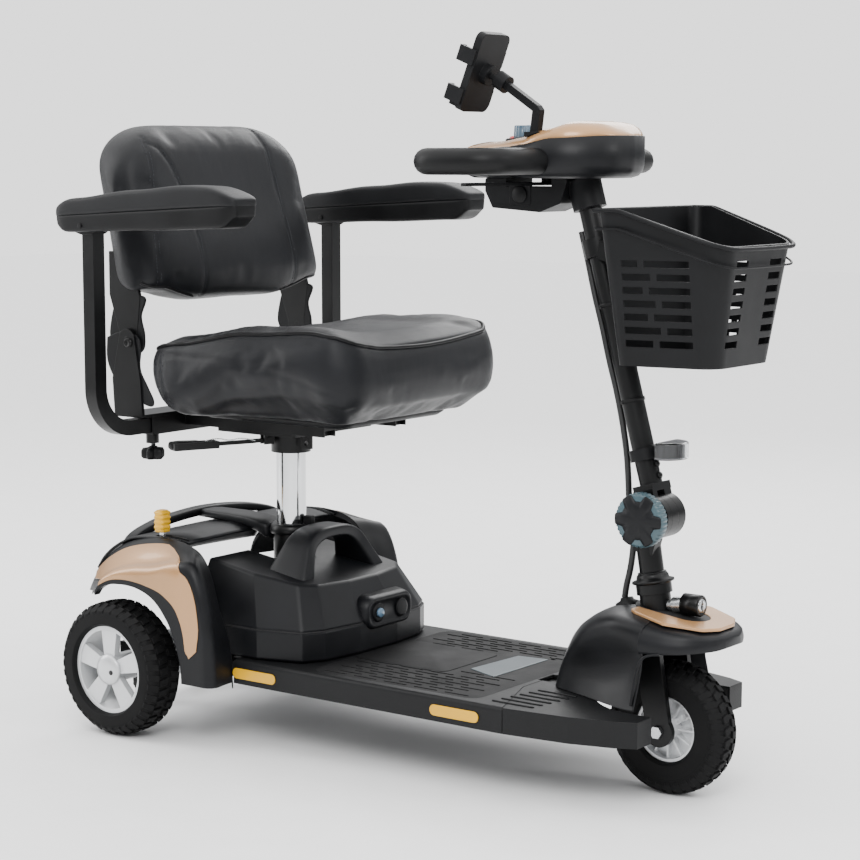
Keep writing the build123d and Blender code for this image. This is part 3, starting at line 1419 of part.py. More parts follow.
pan_top = 548.0
pan_station = 240.0
pan_length = 366.0
pan_width = 350.0
pan_draft = 6.0
pan_corner = 40.0
with BuildPart() as seat_pan:
    with BuildSketch(top_plane(upper_rail_top)):
        with Locations((pan_station, 0)):
            RectangleRounded(pan_length - pan_draft, pan_width - pan_draft, pan_corner)
    with BuildSketch(top_plane(pan_top)):
        with Locations((pan_station, 0)):
            RectangleRounded(pan_length, pan_width, pan_corner)
    loft(ruled=True)
save(seat_pan, "seat_pan")

with BuildPart() as seat_cushion:
    with BuildSketch(side_plane(seat_half_width)):
        with BuildLine():
            Polyline((34, 640), (30, 600), (38, pan_top), (438, pan_top), (456, 596), (458, 650))
            Spline((458, 650), (440, 690), (390, 700), (300, 690), (200, 676), (90, 672), (48, 668), (34, 640))
        make_face()
    extrude(amount=2 * seat_half_width)
    fillet(seat_cushion.edges().filter_by(Axis.Z, reverse=True).filter_by(
        lambda edge: abs(edge.center().Y) > seat_half_width - 1 and edge.center().Z > pan_top + 2), 16)
save(seat_cushion, "seat_cushion")

# ---------------------------------------------------------------- backrest and its hinge brackets
with BuildPart() as backrest_cushion:
    with BuildSketch(side_plane(back_half_width)):
        with BuildLine():
            Polyline((-30, 720), (46, 724), (66, 750))
            Spline((66, 750), (52, 830), (28, 900), (-14, 985), (-34, 1020), (-62, 1034), (-86, 1016),
                   (-84, 975), (-62, 822), (-36, 735), (-30, 720))
        make_face()
    extrude(amount=2 * back_half_width)
    with BuildSketch(Plane(origin=(rear_axle_x - 140, 0, 0), x_dir=(0, 1, 0), z_dir=(1, 0, 0))):
        with Locations((0, 865)):
            Rectangle(2 * back_half_width, 400)
            RectangleRounded(2 * back_half_width, 2 * (1034.5 - 865), 80, mode=Mode.SUBTRACT)
        with Locations((0, 790)):
            Rectangle(2 * back_half_width, 180, mode=Mode.SUBTRACT)
    extrude(amount=260, mode=Mode.SUBTRACT)
save(backrest_cushion, "backrest_cushion")

with BuildPart() as backrest_brackets:
    for sign in sides.values():
        with BuildSketch(side_plane(sign * back_half_width + bracket_thickness * (sign > 0))):
            Polygon((-16, 660), (16, 660), (26, 735), (4, 812), (-44, 812), (-44, 740), align=None)
            with Locations(hinge_pivot):
                Circle(20)
            with Locations(hinge_pivot):
                Circle(hinge_pin_radius + running_clearance, mode=Mode.SUBTRACT)
        extrude(amount=bracket_thickness)
save(backrest_brackets, "backrest_brackets")

# ---------------------------------------------------------------- armrests
arm_inner_end = 62.0
arm_bend = 70.0
flip_z = 858.0
arm_top = 866.0
flip_pin_radius = 4.0
shell_half = 29.0
pad_half = 33.0
cheek_gap = 14.0
star_knob_radius = 20.0
star_knob_top = 480.0
star_knob_depth = 20.0
star_lobes = 5

for side, sign in sides.items():
    arm_y = sign * armrest_y
    with BuildPart() as armrest_frame:
        with BuildLine():
            FilletPolyline((post_x - seat_post_station + receiver_station, sign * arm_inner_end, receiver_z),
                           (post_x - seat_post_station + receiver_station, arm_y, receiver_z),
                           (post_x - seat_post_station + receiver_station, arm_y, arm_top), radius=arm_bend)
        with BuildSketch(side_plane(sign * arm_inner_end, receiver_station, receiver_z)):
            Rectangle(armrest_tube, armrest_tube)
        sweep()
        with BuildSketch(side_plane(arm_y + shell_half + 2, receiver_station, flip_z)):
            Circle(flip_pin_radius)
        extrude(amount=2 * (shell_half + 2))
    save(armrest_frame, f"armrest_frame_{side}")

    with BuildPart() as armrest:
        with BuildSketch(side_plane(arm_y + shell_half)):
            Polygon((-34, 853), (310, 862), (335, 880), (335, 895), (-50, 873), (-50, 864), align=None)
            Polygon((-22, 870), (-12, 843), (26, 843), (40, 870), align=None)
        extrude(amount=2 * shell_half)
        with BuildSketch(side_plane(arm_y + cheek_gap)):
            Polygon((-60, 830), (44, 830), (44, 900), (-60, 900), align=None)
        extrude(amount=2 * cheek_gap, mode=Mode.SUBTRACT)
        with BuildSketch(side_plane(arm_y + shell_half + 1, receiver_station, flip_z)):
            Circle(flip_pin_radius + running_clearance)
        extrude(amount=2 * shell_half + 2, mode=Mode.SUBTRACT)
        with BuildSketch(side_plane(arm_y + pad_half)):
            Polygon((-50, 873), (335, 895), (340, 906), (318, 924), (240, 927), (-30, 906), (-54, 888),
                    align=None)
        extrude(amount=2 * pad_half)
    save(armrest, f"armrest_{side}")

    with BuildPart() as armrest_knob:
        with BuildSketch(top_plane(star_knob_top, receiver_station, sign * knob_y)):
            Circle(star_knob_radius - 6)
            with PolarLocations(star_knob_radius - 6, star_lobes):
                Circle(7)
        extrude(amount=-star_knob_depth)
        with BuildSketch(top_plane(star_knob_top, receiver_station, sign * knob_y)):
            Circle(knob_stud_radius)
        extrude(amount=receiver_z - armrest_tube / 2 - slide_clearance - star_knob_top)
    save(armrest_knob, f"armrest_knob_{side}")
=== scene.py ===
"""Looks of the mobility scooter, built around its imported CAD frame. Metres, +X forward, +Y left, +Z up."""

import math

import bmesh
import bpy
from mathutils import Matrix, Vector, noise


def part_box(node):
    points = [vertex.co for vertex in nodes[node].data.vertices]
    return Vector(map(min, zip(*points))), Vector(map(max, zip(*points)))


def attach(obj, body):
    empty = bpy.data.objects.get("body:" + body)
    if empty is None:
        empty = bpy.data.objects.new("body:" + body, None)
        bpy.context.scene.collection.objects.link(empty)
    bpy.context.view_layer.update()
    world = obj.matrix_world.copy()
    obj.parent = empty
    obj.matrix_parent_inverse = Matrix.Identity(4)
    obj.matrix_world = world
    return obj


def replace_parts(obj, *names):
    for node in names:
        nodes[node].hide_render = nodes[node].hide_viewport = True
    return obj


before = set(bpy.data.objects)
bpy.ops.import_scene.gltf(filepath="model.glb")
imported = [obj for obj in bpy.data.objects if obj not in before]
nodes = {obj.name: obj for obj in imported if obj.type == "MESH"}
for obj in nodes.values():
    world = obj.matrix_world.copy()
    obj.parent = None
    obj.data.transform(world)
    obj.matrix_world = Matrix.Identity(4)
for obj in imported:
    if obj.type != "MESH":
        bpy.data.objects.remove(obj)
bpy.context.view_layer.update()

MM = 0.001
SIDES = {"left": 1, "right": -1}


def box_of(node):
    """Lowest and highest corner of a CAD node as vectors."""
    low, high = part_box(node)
    return Vector(low), Vector(high)


REAR_LOW, REAR_HIGH = box_of("rear_tyre_left")
AXLE_X = (REAR_LOW.x + REAR_HIGH.x) / 2


def at(station, y, z):
    """A point from millimetres ahead of the rear axle, left of the middle and above the ground."""
    return Vector((AXLE_X + station * MM, y * MM, z * MM))


# ---------------------------------------------------------------- materials
def new_material(name):
    """An empty node material with its shader and the helpers to add to it."""
    mat = bpy.data.materials.new(name)
    mat.use_nodes = True
    tree = mat.node_tree
    shader = tree.nodes["Principled BSDF"]
    return mat, tree, shader


def object_coords(tree, scale=(1, 1, 1)):
    """Object-space position, stretched by scale."""
    coords = tree.nodes.new("ShaderNodeTexCoord")
    mapping = tree.nodes.new("ShaderNodeMapping")
    mapping.inputs["Scale"].default_value = scale
    tree.links.new(coords.outputs["Object"], mapping.inputs["Vector"])
    return mapping.outputs["Vector"]


def noise_node(tree, vector, scale, detail=3.0, roughness=0.55):
    node = tree.nodes.new("ShaderNodeTexNoise")
    node.inputs["Scale"].default_value = scale
    node.inputs["Detail"].default_value = detail
    node.inputs["Roughness"].default_value = roughness
    tree.links.new(vector, node.inputs["Vector"])
    return node


def ramp(tree, factor, low, high, start=0.3, end=0.7):
    """Blends between two colours as factor goes from start to end."""
    node = tree.nodes.new("ShaderNodeValToRGB")
    node.color_ramp.elements[0].position = start
    node.color_ramp.elements[0].color = (*low, 1)
    node.color_ramp.elements[1].position = end
    node.color_ramp.elements[1].color = (*high, 1)
    tree.links.new(factor, node.inputs["Fac"])
    return node.outputs["Color"]


def map_range(tree, value, low, high):
    node = tree.nodes.new("ShaderNodeMapRange")
    node.inputs["From Min"].default_value = 0.3
    node.inputs["From Max"].default_value = 0.7
    node.inputs["To Min"].default_value = low
    node.inputs["To Max"].default_value = high
    tree.links.new(value, node.inputs["Value"])
    return node.outputs["Result"]


def add_bump(tree, shader, height, strength, distance, edge=0.0):
    """Bump from a height, over rounded edges of the given radius in metres."""
    bump = tree.nodes.new("ShaderNodeBump")
    bump.inputs["Strength"].default_value = strength
    bump.inputs["Distance"].default_value = distance
    tree.links.new(height, bump.inputs["Height"])
    if edge:
        bevel = tree.nodes.new("ShaderNodeBevel")
        bevel.samples = 4
        bevel.inputs["Radius"].default_value = edge
        tree.links.new(bevel.outputs["Normal"], bump.inputs["Normal"])
    tree.links.new(bump.outputs["Normal"], shader.inputs["Normal"])
    return bump


def moulded(name, colour, roughness, grain=900.0, bump=0.12, edge=0.0012, spread=0.25, coat=0.0,
            metallic=0.0, specular=0.5):
    """Moulded or painted surface: fine grain, slow colour drift, worn roughness and softened edges."""
    mat, tree, shader = new_material(name)
    coords = object_coords(tree)
    drift = noise_node(tree, coords, 14.0, 4.0)
    fine = noise_node(tree, coords, grain, 2.0)
    low = tuple(c * (1 - spread) for c in colour)
    high = tuple(min(1.0, c * (1 + spread)) for c in colour)
    tree.links.new(ramp(tree, drift.outputs["Fac"], low, high), shader.inputs["Base Color"])
    tree.links.new(map_range(tree, drift.outputs["Fac"], roughness * 0.88, min(1.0, roughness * 1.12)),
                   shader.inputs["Roughness"])
    shader.inputs["Metallic"].default_value = metallic
    shader.inputs["Specular IOR Level"].default_value = specular
    shader.inputs["Coat Weight"].default_value = coat
    shader.inputs["Coat Roughness"].default_value = 0.08
    add_bump(tree, shader, fine.outputs["Fac"], bump, 0.0004, edge)
    return mat


def pebbled(name, colour, roughness, cell, bump, edge=0.0015, sheen=0.0, crease=0.0, specular=0.2):
    """Leather-like or pebbled surface: small rounded cells over a slow drift."""
    mat, tree, shader = new_material(name)
    coords = object_coords(tree)
    cells = tree.nodes.new("ShaderNodeTexVoronoi")
    cells.inputs["Scale"].default_value = cell
    cells.inputs["Randomness"].default_value = 0.9
    tree.links.new(coords, cells.inputs["Vector"])
    drift = noise_node(tree, coords, 9.0, 5.0)
    low = tuple(c * 0.78 for c in colour)
    high = tuple(c * 1.25 for c in colour)
    tree.links.new(ramp(tree, drift.outputs["Fac"], low, high), shader.inputs["Base Color"])
    tree.links.new(map_range(tree, drift.outputs["Fac"], roughness * 0.85, roughness * 1.15),
                   shader.inputs["Roughness"])
    shader.inputs["Specular IOR Level"].default_value = specular
    shader.inputs["Sheen Weight"].default_value = sheen
    shader.inputs["Sheen Roughness"].default_value = 0.4
    bump_node = add_bump(tree, shader, cells.outputs["Distance"], bump, 0.0004, edge)
    if crease:
        folds = noise_node(tree, object_coords(tree, (1.0, 1.0, 0.25)), 26.0, 3.0)
        second = tree.nodes.new("ShaderNodeBump")
        second.inputs["Strength"].default_value = crease
        second.inputs["Distance"].default_value = 0.004
        tree.links.new(folds.outputs["Fac"], second.inputs["Height"])
        tree.links.new(bump_node.outputs["Normal"], second.inputs["Normal"])
        tree.links.new(second.outputs["Normal"], shader.inputs["Normal"])
    return mat


def metal(name, colour, roughness, brush=(1, 1, 1), scratch=220.0):
    """Bare or plated metal with fine scratches along one way."""
    mat, tree, shader = new_material(name)
    fine = noise_node(tree, object_coords(tree, brush), scratch, 4.0, 0.7)
    drift = noise_node(tree, object_coords(tree), 12.0, 3.0)
    shader.inputs["Metallic"].default_value = 1.0
    low = tuple(c * 0.93 for c in colour)
    tree.links.new(ramp(tree, drift.outputs["Fac"], low, colour), shader.inputs["Base Color"])
    tree.links.new(map_range(tree, fine.outputs["Fac"], roughness * 0.6, roughness * 1.5),
                   shader.inputs["Roughness"])
    add_bump(tree, shader, fine.outputs["Fac"], 0.04, 0.0003, 0.0006)
    return mat


def clear_plastic(name, colour, roughness=0.05, transmission=1.0):
    """Clear moulding with faint ribs in its thickness."""
    mat, tree, shader = new_material(name)
    waves = tree.nodes.new("ShaderNodeTexWave")
    waves.inputs["Scale"].default_value = 160.0
    tree.links.new(object_coords(tree), waves.inputs["Vector"])
    shader.inputs["Base Color"].default_value = (*colour, 1)
    shader.inputs["Roughness"].default_value = roughness
    shader.inputs["Transmission Weight"].default_value = transmission
    shader.inputs["IOR"].default_value = 1.45
    add_bump(tree, shader, waves.outputs["Fac"], 0.2, 0.0006)
    return mat


def pearl(name, colour):
    """Champagne body colour: a metallic flake under a clear coat."""
    mat, tree, shader = new_material(name)
    coords = object_coords(tree)
    flake = noise_node(tree, coords, 2600.0, 1.0)
    drift = noise_node(tree, coords, 7.0, 3.0)
    low = tuple(c * 0.9 for c in colour)
    high = tuple(min(1.0, c * 1.08) for c in colour)
    tree.links.new(ramp(tree, drift.outputs["Fac"], low, high), shader.inputs["Base Color"])
    tree.links.new(map_range(tree, flake.outputs["Fac"], 0.26, 0.42), shader.inputs["Roughness"])
    shader.inputs["Metallic"].default_value = 0.25
    shader.inputs["Coat Weight"].default_value = 0.45
    shader.inputs["Coat Roughness"].default_value = 0.10
    add_bump(tree, shader, flake.outputs["Fac"], 0.05, 0.0002, 0.0012)
    return mat


VINYL = pebbled("black_vinyl", (0.0051, 0.0055, 0.0069), 0.42, 1500.0, 0.32, 0.0, sheen=0.06, crease=0.16)
VINYL_PIPING = pebbled("black_piping", (0.0024, 0.0024, 0.0030), 0.36, 1500.0, 0.15, 0.0)
THREAD = moulded("black_thread", (0.016, 0.018, 0.024), 0.62, 3000.0, 0.3, 0.0)
PAD = pebbled("armrest_skin", (0.0060, 0.0063, 0.0072), 0.50, 1100.0, 0.3, 0.001)
SHELL = moulded("armrest_shell", (0.0042, 0.0043, 0.0047), 0.46, 800.0, 0.2, specular=0.16)
COATED = moulded("powder_coat", (0.0027, 0.0028, 0.0030), 0.34, 1500.0, 0.12, 0.0012, specular=0.22)
PLASTIC = moulded("textured_plastic", (0.0047, 0.0049, 0.0055), 0.47, 1300.0, 0.16, 0.0018, specular=0.16)
SATIN = moulded("satin_plastic", (0.0047, 0.0050, 0.0060), 0.40, 1300.0, 0.10, 0.002, specular=0.20)
DECK_SKIN = pebbled("deck_skin", (0.0051, 0.0053, 0.0058), 0.47, 420.0, 0.35, 0.0025)
MAT = moulded("mat_rubber", (0.0051, 0.0051, 0.0055), 0.62, 1100.0, 0.3, 0.001, specular=0.18)
GRIP = moulded("grip_rubber", (0.0033, 0.0034, 0.0037), 0.48, 900.0, 0.12, 0.0, specular=0.18)
TYRE = moulded("tyre_rubber", (0.0030, 0.0030, 0.0032), 0.66, 700.0, 0.35, 0.0008, specular=0.15)
RIM = moulded("silver_rim", (0.58, 0.59, 0.60), 0.33, 1800.0, 0.06, 0.0015, 0.05, 0.4, 0.35)
CHROME = metal("chrome", (0.62, 0.63, 0.64), 0.07, (1, 1, 0.1), 90.0)
STEEL = metal("zinc_steel", (0.56, 0.57, 0.58), 0.26)
CASTING = metal("cast_aluminium", (0.36, 0.37, 0.38), 0.45, (1, 1, 1), 320.0)
CHAMPAGNE = pearl("champagne_pearl", (0.40, 0.215, 0.088))
YELLOW = moulded("yellow_plastic", (0.62, 0.33, 0.001), 0.36, 1500.0, 0.05, 0.0015, 0.08)
REFLECTOR = moulded("yellow_reflector", (0.66, 0.35, 0.001), 0.34, 240.0, 0.5, 0.001, 0.1)
RED = moulded("red_plastic", (0.50, 0.012, 0.012), 0.22, 1500.0, 0.03, 0.001, 0.08, 0.6)
DIAL = moulded("dial_plastic", (0.090, 0.155, 0.225), 0.32, 1500.0, 0.06, 0.001, 0.08, 0.3)
TEAL = moulded("teal_plastic", (0.034, 0.066, 0.080), 0.38, 1300.0, 0.12, 0.001, 0.1)
LABEL = moulded("label_grey_blue", (0.040, 0.060, 0.070), 0.30, 1500.0, 0.05, 0.0005, 0.08, 0.3)
CLEAR = clear_plastic("lens_clear", (0.95, 0.97, 1.0))
CABLE = moulded("cable_sheath", (0.0055, 0.0055, 0.006), 0.44, 1300.0, 0.1, 0.0)
# Near-black matte: the own colour of the battery cells, the deck screw and the dark cards, and painted shade
# where it fills the hub screw recess, the battery's parting groove, the charge socket's floor, the shroud
# well and the lock keyway.
BLACK_AND_SHADE = moulded("black_and_recess_shade", (0.002, 0.002, 0.0025), 0.7, 900.0, 0.1, 0.0)

NODE_MATERIALS = {
    PLASTIC: ("front_shroud", "console_body", "console_port_box", "basket", "phone_arm", "phone_cradle",
              "headlamp_body", "seat_pan", "port_flap", "throttle_lever", "armrest_knob_left",
              "armrest_knob_right", "rear_shroud", "anti_tip_wheels"),
    COATED: ("rear_frame", "front_frame", "front_fork", "tiller_tube", "tiller_hinge_base", "seat_frame",
             "seat_base", "swivel_lever", "backrest_brackets", "armrest_frame_left", "armrest_frame_right",
             "basket_bracket", "drive_motor", "head_bearings"),
    SATIN: ("battery_case", "battery_lid"),
    DECK_SKIN: ("deck_pan", "front_deck"),
    MAT: ("deck_mat",),
    GRIP: ("handlebar_grip",),
    TYRE: ("rear_tyre_left", "rear_tyre_right", "front_tyre"),
    RIM: ("rear_rim_left", "rear_rim_right", "front_rim"),
    CHROME: ("seat_post",),
    STEEL: ("rear_axle_shaft_left", "rear_axle_shaft_right", "front_axle_bolt", "steering_lock"),
    CASTING: ("transaxle",),
    CHAMPAGNE: ("trim_panels", "console_cover"),
    YELLOW: ("freewheel_lever",),
    RED: ("horn_button",),
    DIAL: ("speed_dial",),
    TEAL: ("fold_knob",),
    CLEAR: ("headlamp_lens",),
    CABLE: ("harness_upper", "harness_lower"),
    VINYL: ("seat_cushion", "backrest_cushion"),
    PAD: ("armrest_left", "armrest_right"),
    BLACK_AND_SHADE: ("battery_cells",),
}
for material, names in NODE_MATERIALS.items():
    for node_name in names:
        mesh = nodes[node_name].data
        mesh.materials.clear()
        mesh.materials.append(material)


# ---------------------------------------------------------------- mesh helpers
def finish_mesh(bm, name, material, body, smooth=True):
    """Turns a bmesh into a piece that rides on a body."""
    bmesh.ops.recalc_face_normals(bm, faces=bm.faces)
    mesh = bpy.data.meshes.new(name)
    bm.to_mesh(mesh)
    bm.free()
    for face in mesh.polygons:
        face.use_smooth = smooth
    piece = bpy.data.objects.new(name, mesh)
    bpy.context.collection.objects.link(piece)
    mesh.materials.append(material)
    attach(piece, body)
    return piece


def modifier(piece, kind, **values):
    added = piece.modifiers.new(kind.lower(), kind)
    for key, value in values.items():
        setattr(added, key, value)
    return added


def bevelled(piece, width, segments=3, angle=35):
    """Rounds a piece's sharp edges."""
    modifier(piece, "BEVEL", width=width, segments=segments, limit_method="ANGLE",
             angle_limit=math.radians(angle), harden_normals=True)
    return piece


def add_loft(bm, rings, closed_ends=True, closed_loop=True):
    """Faces between rings of equally many points."""
    rows = [[bm.verts.new(point) for point in ring] for ring in rings]
    count = len(rings[0])
    for low, high in zip(rows, rows[1:]):
        for i in range(count if closed_loop else count - 1):
            j = (i + 1) % count
            bm.faces.new((low[i], low[j], high[j], high[i]))
    if closed_ends:
        bm.faces.new(list(reversed(rows[0])))
        bm.faces.new(rows[-1])
    return rows


def add_box(bm, low, high, matrix=None):
    """A plain box between two corners."""
    corners = [Vector((x, y, z)) for z in (low[2], high[2])
               for x, y in ((low[0], low[1]), (high[0], low[1]), (high[0], high[1]), (low[0], high[1]))]
    if matrix is not None:
        corners = [matrix @ corner for corner in corners]
    add_loft(bm, [corners[:4], corners[4:]])


def extrude_outline(bm, outline, depth, to_world):
    """A flat outline given depth; to_world maps (u, v, w) to the scene."""
    add_loft(bm, [[to_world(u, v, w) for u, v in outline] for w in (0, depth)])


def lathe(bm, profile, origin, axis, steps=48):
    """Turns a profile of (radius, along) about an axis."""
    axis = Vector(axis).normalized()
    side = axis.orthogonal().normalized()
    other = axis.cross(side)
    rings = []
    for radius, along in profile:
        ring = []
        for i in range(steps):
            angle = 2 * math.pi * i / steps
            ring.append(origin + axis * along + (side * math.cos(angle) + other * math.sin(angle)) * radius)
        rings.append(ring)
    add_loft(bm, rings)


def arc(centre, radius, start, end, steps):
    """Points of an arc in degrees."""
    points = []
    for i in range(steps + 1):
        angle = math.radians(start + (end - start) * i / steps)
        points.append((centre[0] + radius * math.cos(angle), centre[1] + radius * math.sin(angle)))
    return points


def rounded_rectangle(width, height, radius, steps=6):
    """Outline of a rectangle with round corners, about its middle."""
    u, v = width / 2 - radius, height / 2 - radius
    return (arc((u, v), radius, 0, 90, steps) + arc((-u, v), radius, 90, 180, steps)
            + arc((-u, -v), radius, 180, 270, steps) + arc((u, -v), radius, 270, 360, steps))


def through(points, count):
    """Count + 1 points on a smooth curve through the given ones."""
    result = []
    spans = len(points) - 1
    for step in range(count + 1):
        place = min(step * spans / count, spans - 1e-9)
        index = int(place)
        part = place - index
        before, start, finish, after = (points[max(0, min(spans, index + k))] for k in (-1, 0, 1, 2))
        result.append(tuple(
            b + 0.5 * part * (c - a + part * (2 * a - 5 * b + 4 * c - d + part * (3 * (b - c) + d - a)))
            for a, b, c, d in zip(before, start, finish, after)))
    return result


def graph(table, place):
    """Height of a smooth curve through (place, height) pairs."""
    for (first, low), (second, high) in zip(table, table[1:]):
        if place <= second:
            part = max(0.0, (place - first) / (second - first))
            return low + (high - low) * part * part * (3 - 2 * part)
    return table[-1][1]


def tube(name, points, radius, material, body, closed=False, resolution=4):
    """A round bar or cord along a smooth NURBS line."""
    curve = bpy.data.curves.new(name, "CURVE")
    curve.dimensions = "3D"
    curve.bevel_depth = radius
    curve.bevel_resolution = resolution
    curve.use_fill_caps = not closed
    line = curve.splines.new("NURBS")
    line.points.add(len(points) - 1)
    for knot, point in zip(line.points, points):
        knot.co = (*point, 1)
    line.order_u = 3
    line.use_endpoint_u = not closed
    line.use_cyclic_u = closed
    line.resolution_u = 6
    curve.materials.append(material)
    piece = bpy.data.objects.new(name, curve)
    bpy.context.collection.objects.link(piece)
    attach(piece, body)
    return piece


# ---------------------------------------------------------------- stage, lights and camera
def area_light(name, position, target, size, power, colour=(1, 1, 1)):
    lamp = bpy.data.lights.new(name, "AREA")
    lamp.shape = "RECTANGLE"
    lamp.size, lamp.size_y = size
    lamp.energy = power
    lamp.color = colour
    lamp_object = bpy.data.objects.new(name, lamp)
    bpy.context.collection.objects.link(lamp_object)
    lamp_object.location = position
    lamp_object.rotation_euler = (Vector(target) - Vector(position)).to_track_quat("-Z", "Y").to_euler()


def make_world():
    """Bright overhead, dim near the horizon for contrast, and a plain pale backdrop behind the object."""
    world = bpy.data.worlds.new("studio")
    bpy.context.scene.world = world
    world.use_nodes = True
    tree = world.node_tree
    light = tree.nodes["Background"]
    light.inputs["Strength"].default_value = 1.0
    coords = tree.nodes.new("ShaderNodeTexCoord")
    split = tree.nodes.new("ShaderNodeSeparateXYZ")
    tree.links.new(coords.outputs["Generated"], split.inputs["Vector"])
    height = tree.nodes.new("ShaderNodeValToRGB")
    height.color_ramp.elements[0].position = 0.10
    height.color_ramp.elements[0].color = (0.30, 0.31, 0.33, 1)
    height.color_ramp.elements[1].position = 0.85
    height.color_ramp.elements[1].color = (2.9, 2.9, 2.9, 1)
    tree.links.new(split.outputs["Z"], height.inputs["Fac"])
    tree.links.new(height.outputs["Color"], light.inputs["Color"])
    backdrop = tree.nodes.new("ShaderNodeBackground")
    backdrop.inputs["Color"].default_value = (1, 1, 1, 1)
    backdrop.inputs["Strength"].default_value = 1.9
    path = tree.nodes.new("ShaderNodeLightPath")
    mix = tree.nodes.new("ShaderNodeMixShader")
    tree.links.new(path.outputs["Is Camera Ray"], mix.inputs["Fac"])
    tree.links.new(light.outputs["Background"], mix.inputs[1])
    tree.links.new(backdrop.outputs["Background"], mix.inputs[2])
    tree.links.new(mix.outputs["Shader"], tree.nodes["World Output"].inputs["Surface"])


def dark_card(name, bearing, distance):
    """Dark board out of view, at a bearing in degrees, for streaks in the chrome and satin black."""
    turn = Matrix.Rotation(math.radians(bearing), 4, "Z")
    bm = bmesh.new()
    corners = [turn @ Vector((distance, y, z)) for y, z in ((-0.32, 0.05), (0.32, 0.05), (0.32, 1.6),
                                                            (-0.32, 1.6))]
    bm.faces.new([bm.verts.new(corner) for corner in corners])
    mesh = bpy.data.meshes.new(name)
    bm.to_mesh(mesh)
    bm.free()
    card = bpy.data.objects.new(name, mesh)
    bpy.context.collection.objects.link(card)
    mesh.materials.append(BLACK_AND_SHADE)
    card.visible_camera = False
    card.visible_shadow = False


def make_stage():
    """Pale floor, soft boxes and the camera."""
    floor_bm = bmesh.new()
    bmesh.ops.create_grid(floor_bm, x_segments=8, y_segments=8, size=14.0)
    floor_mesh = bpy.data.meshes.new("floor")
    floor_bm.to_mesh(floor_mesh)
    floor_bm.free()
    floor = bpy.data.objects.new("floor", floor_mesh)
    bpy.context.collection.objects.link(floor)
    floor_mesh.materials.append(moulded("floor_white", (0.86, 0.86, 0.86), 0.75, 60.0, 0.02, 0.0, 0.01))
    make_world()
    area_light("key", (1.6, -2.6, 2.6), (0, 0, 0.4), (1.4, 1.4), 75)
    area_light("side_left", (-3.0, -1.4, 1.7), (0, 0, 0.5), (0.9, 2.4), 55)
    area_light("front_right", (3.2, 0.8, 1.6), (0, 0, 0.5), (0.8, 2.2), 45)
    area_light("back", (-1.0, 2.8, 2.4), (0, 0, 0.6), (2.0, 1.2), 45)
    dark_card("card_left", 232, 2.4)
    dark_card("card_right", 12, 2.6)
    view = bpy.data.cameras.new("camera")
    view.sensor_width = 36.0
    view.lens = 92.1
    view.clip_end = 60
    camera = bpy.data.objects.new("camera", view)
    bpy.context.collection.objects.link(camera)
    turn = Matrix.Rotation(math.radians(36.77), 4, "Z") @ Matrix.Rotation(math.radians(90 - 7.11), 4, "X")
    camera.matrix_world = Matrix.Translation(at(2596.5, -2854.2, 970.5)) @ turn
    bpy.context.scene.camera = camera


make_stage()


# ---------------------------------------------------------------- padded pieces
def inflate(piece, cap, voxel=0.005, pressure=4.0):
    """Swells a closed mesh as stuffed cloth, moving no point further than cap, then smooths it once."""
    context = bpy.context
    context.view_layer.objects.active = piece
    remesh = modifier(piece, "REMESH", mode="VOXEL", voxel_size=voxel)
    with context.temp_override(object=piece, active_object=piece):
        bpy.ops.object.modifier_apply(modifier=remesh.name)
    start = [vertex.co.copy() for vertex in piece.data.vertices]
    cloth = piece.modifiers.new("cloth", "CLOTH")
    cloth.settings.use_pressure = True
    cloth.settings.uniform_pressure_force = pressure
    cloth.settings.effector_weights.gravity = 0
    cloth.settings.quality = 4
    cloth.collision_settings.use_collision = False
    scene = context.scene
    for step in range(1, 21):
        scene.frame_set(step)
    swollen = piece.evaluated_get(context.evaluated_depsgraph_get()).to_mesh()
    moved = [vertex.co.copy() for vertex in swollen.vertices]
    piece.modifiers.remove(cloth)
    scene.frame_set(1)
    for vertex, old, new in zip(piece.data.vertices, start, moved):
        shift = new - old
        if shift.length > cap:
            shift *= cap / shift.length
        vertex.co = old + shift
    bm = bmesh.new()
    bm.from_mesh(piece.data)
    for _ in range(3):
        bmesh.ops.smooth_vert(bm, verts=bm.verts, factor=0.5, use_axis_x=True, use_axis_y=True,
                              use_axis_z=True)
    bm.to_mesh(piece.data)
    bm.free()
    for face in piece.data.polygons:
        face.use_smooth = True


def surface_of(piece):
    """A search tree over a piece's mesh."""
    from mathutils.bvhtree import BVHTree
    return BVHTree.FromPolygons([vertex.co for vertex in piece.data.vertices],
                                [tuple(face.vertices) for face in piece.data.polygons])


def dense(points, step):
    """The same line with points every step metres."""
    result = []
    for first, second in zip(points, points[1:]):
        count = max(1, round((second - first).length / step))
        result += [first.lerp(second, i / count) for i in range(count)]
    result.append(points[-1])
    return result


def snap(points, tree, lift=0.0):
    """Moves points onto a surface, lifted along its normal."""
    result = []
    for point in points:
        place, normal, _, _ = tree.find_nearest(point)
        result.append(place + normal * lift)
    return result


def sew(piece, seams, depth=0.0018, width=0.0035):
    """Presses seam lines into a piece."""
    from mathutils.kdtree import KDTree
    points = [point for seam in seams for point in dense(seam, 0.002)]
    tree = KDTree(len(points))
    for index, point in enumerate(points):
        tree.insert(point, index)
    tree.balance()
    piece.data.update()
    for vertex in piece.data.vertices:
        _, _, distance = tree.find(vertex.co)
        if distance < 4 * width:
            vertex.co -= vertex.normal * depth * math.exp(-(distance / width) ** 2)


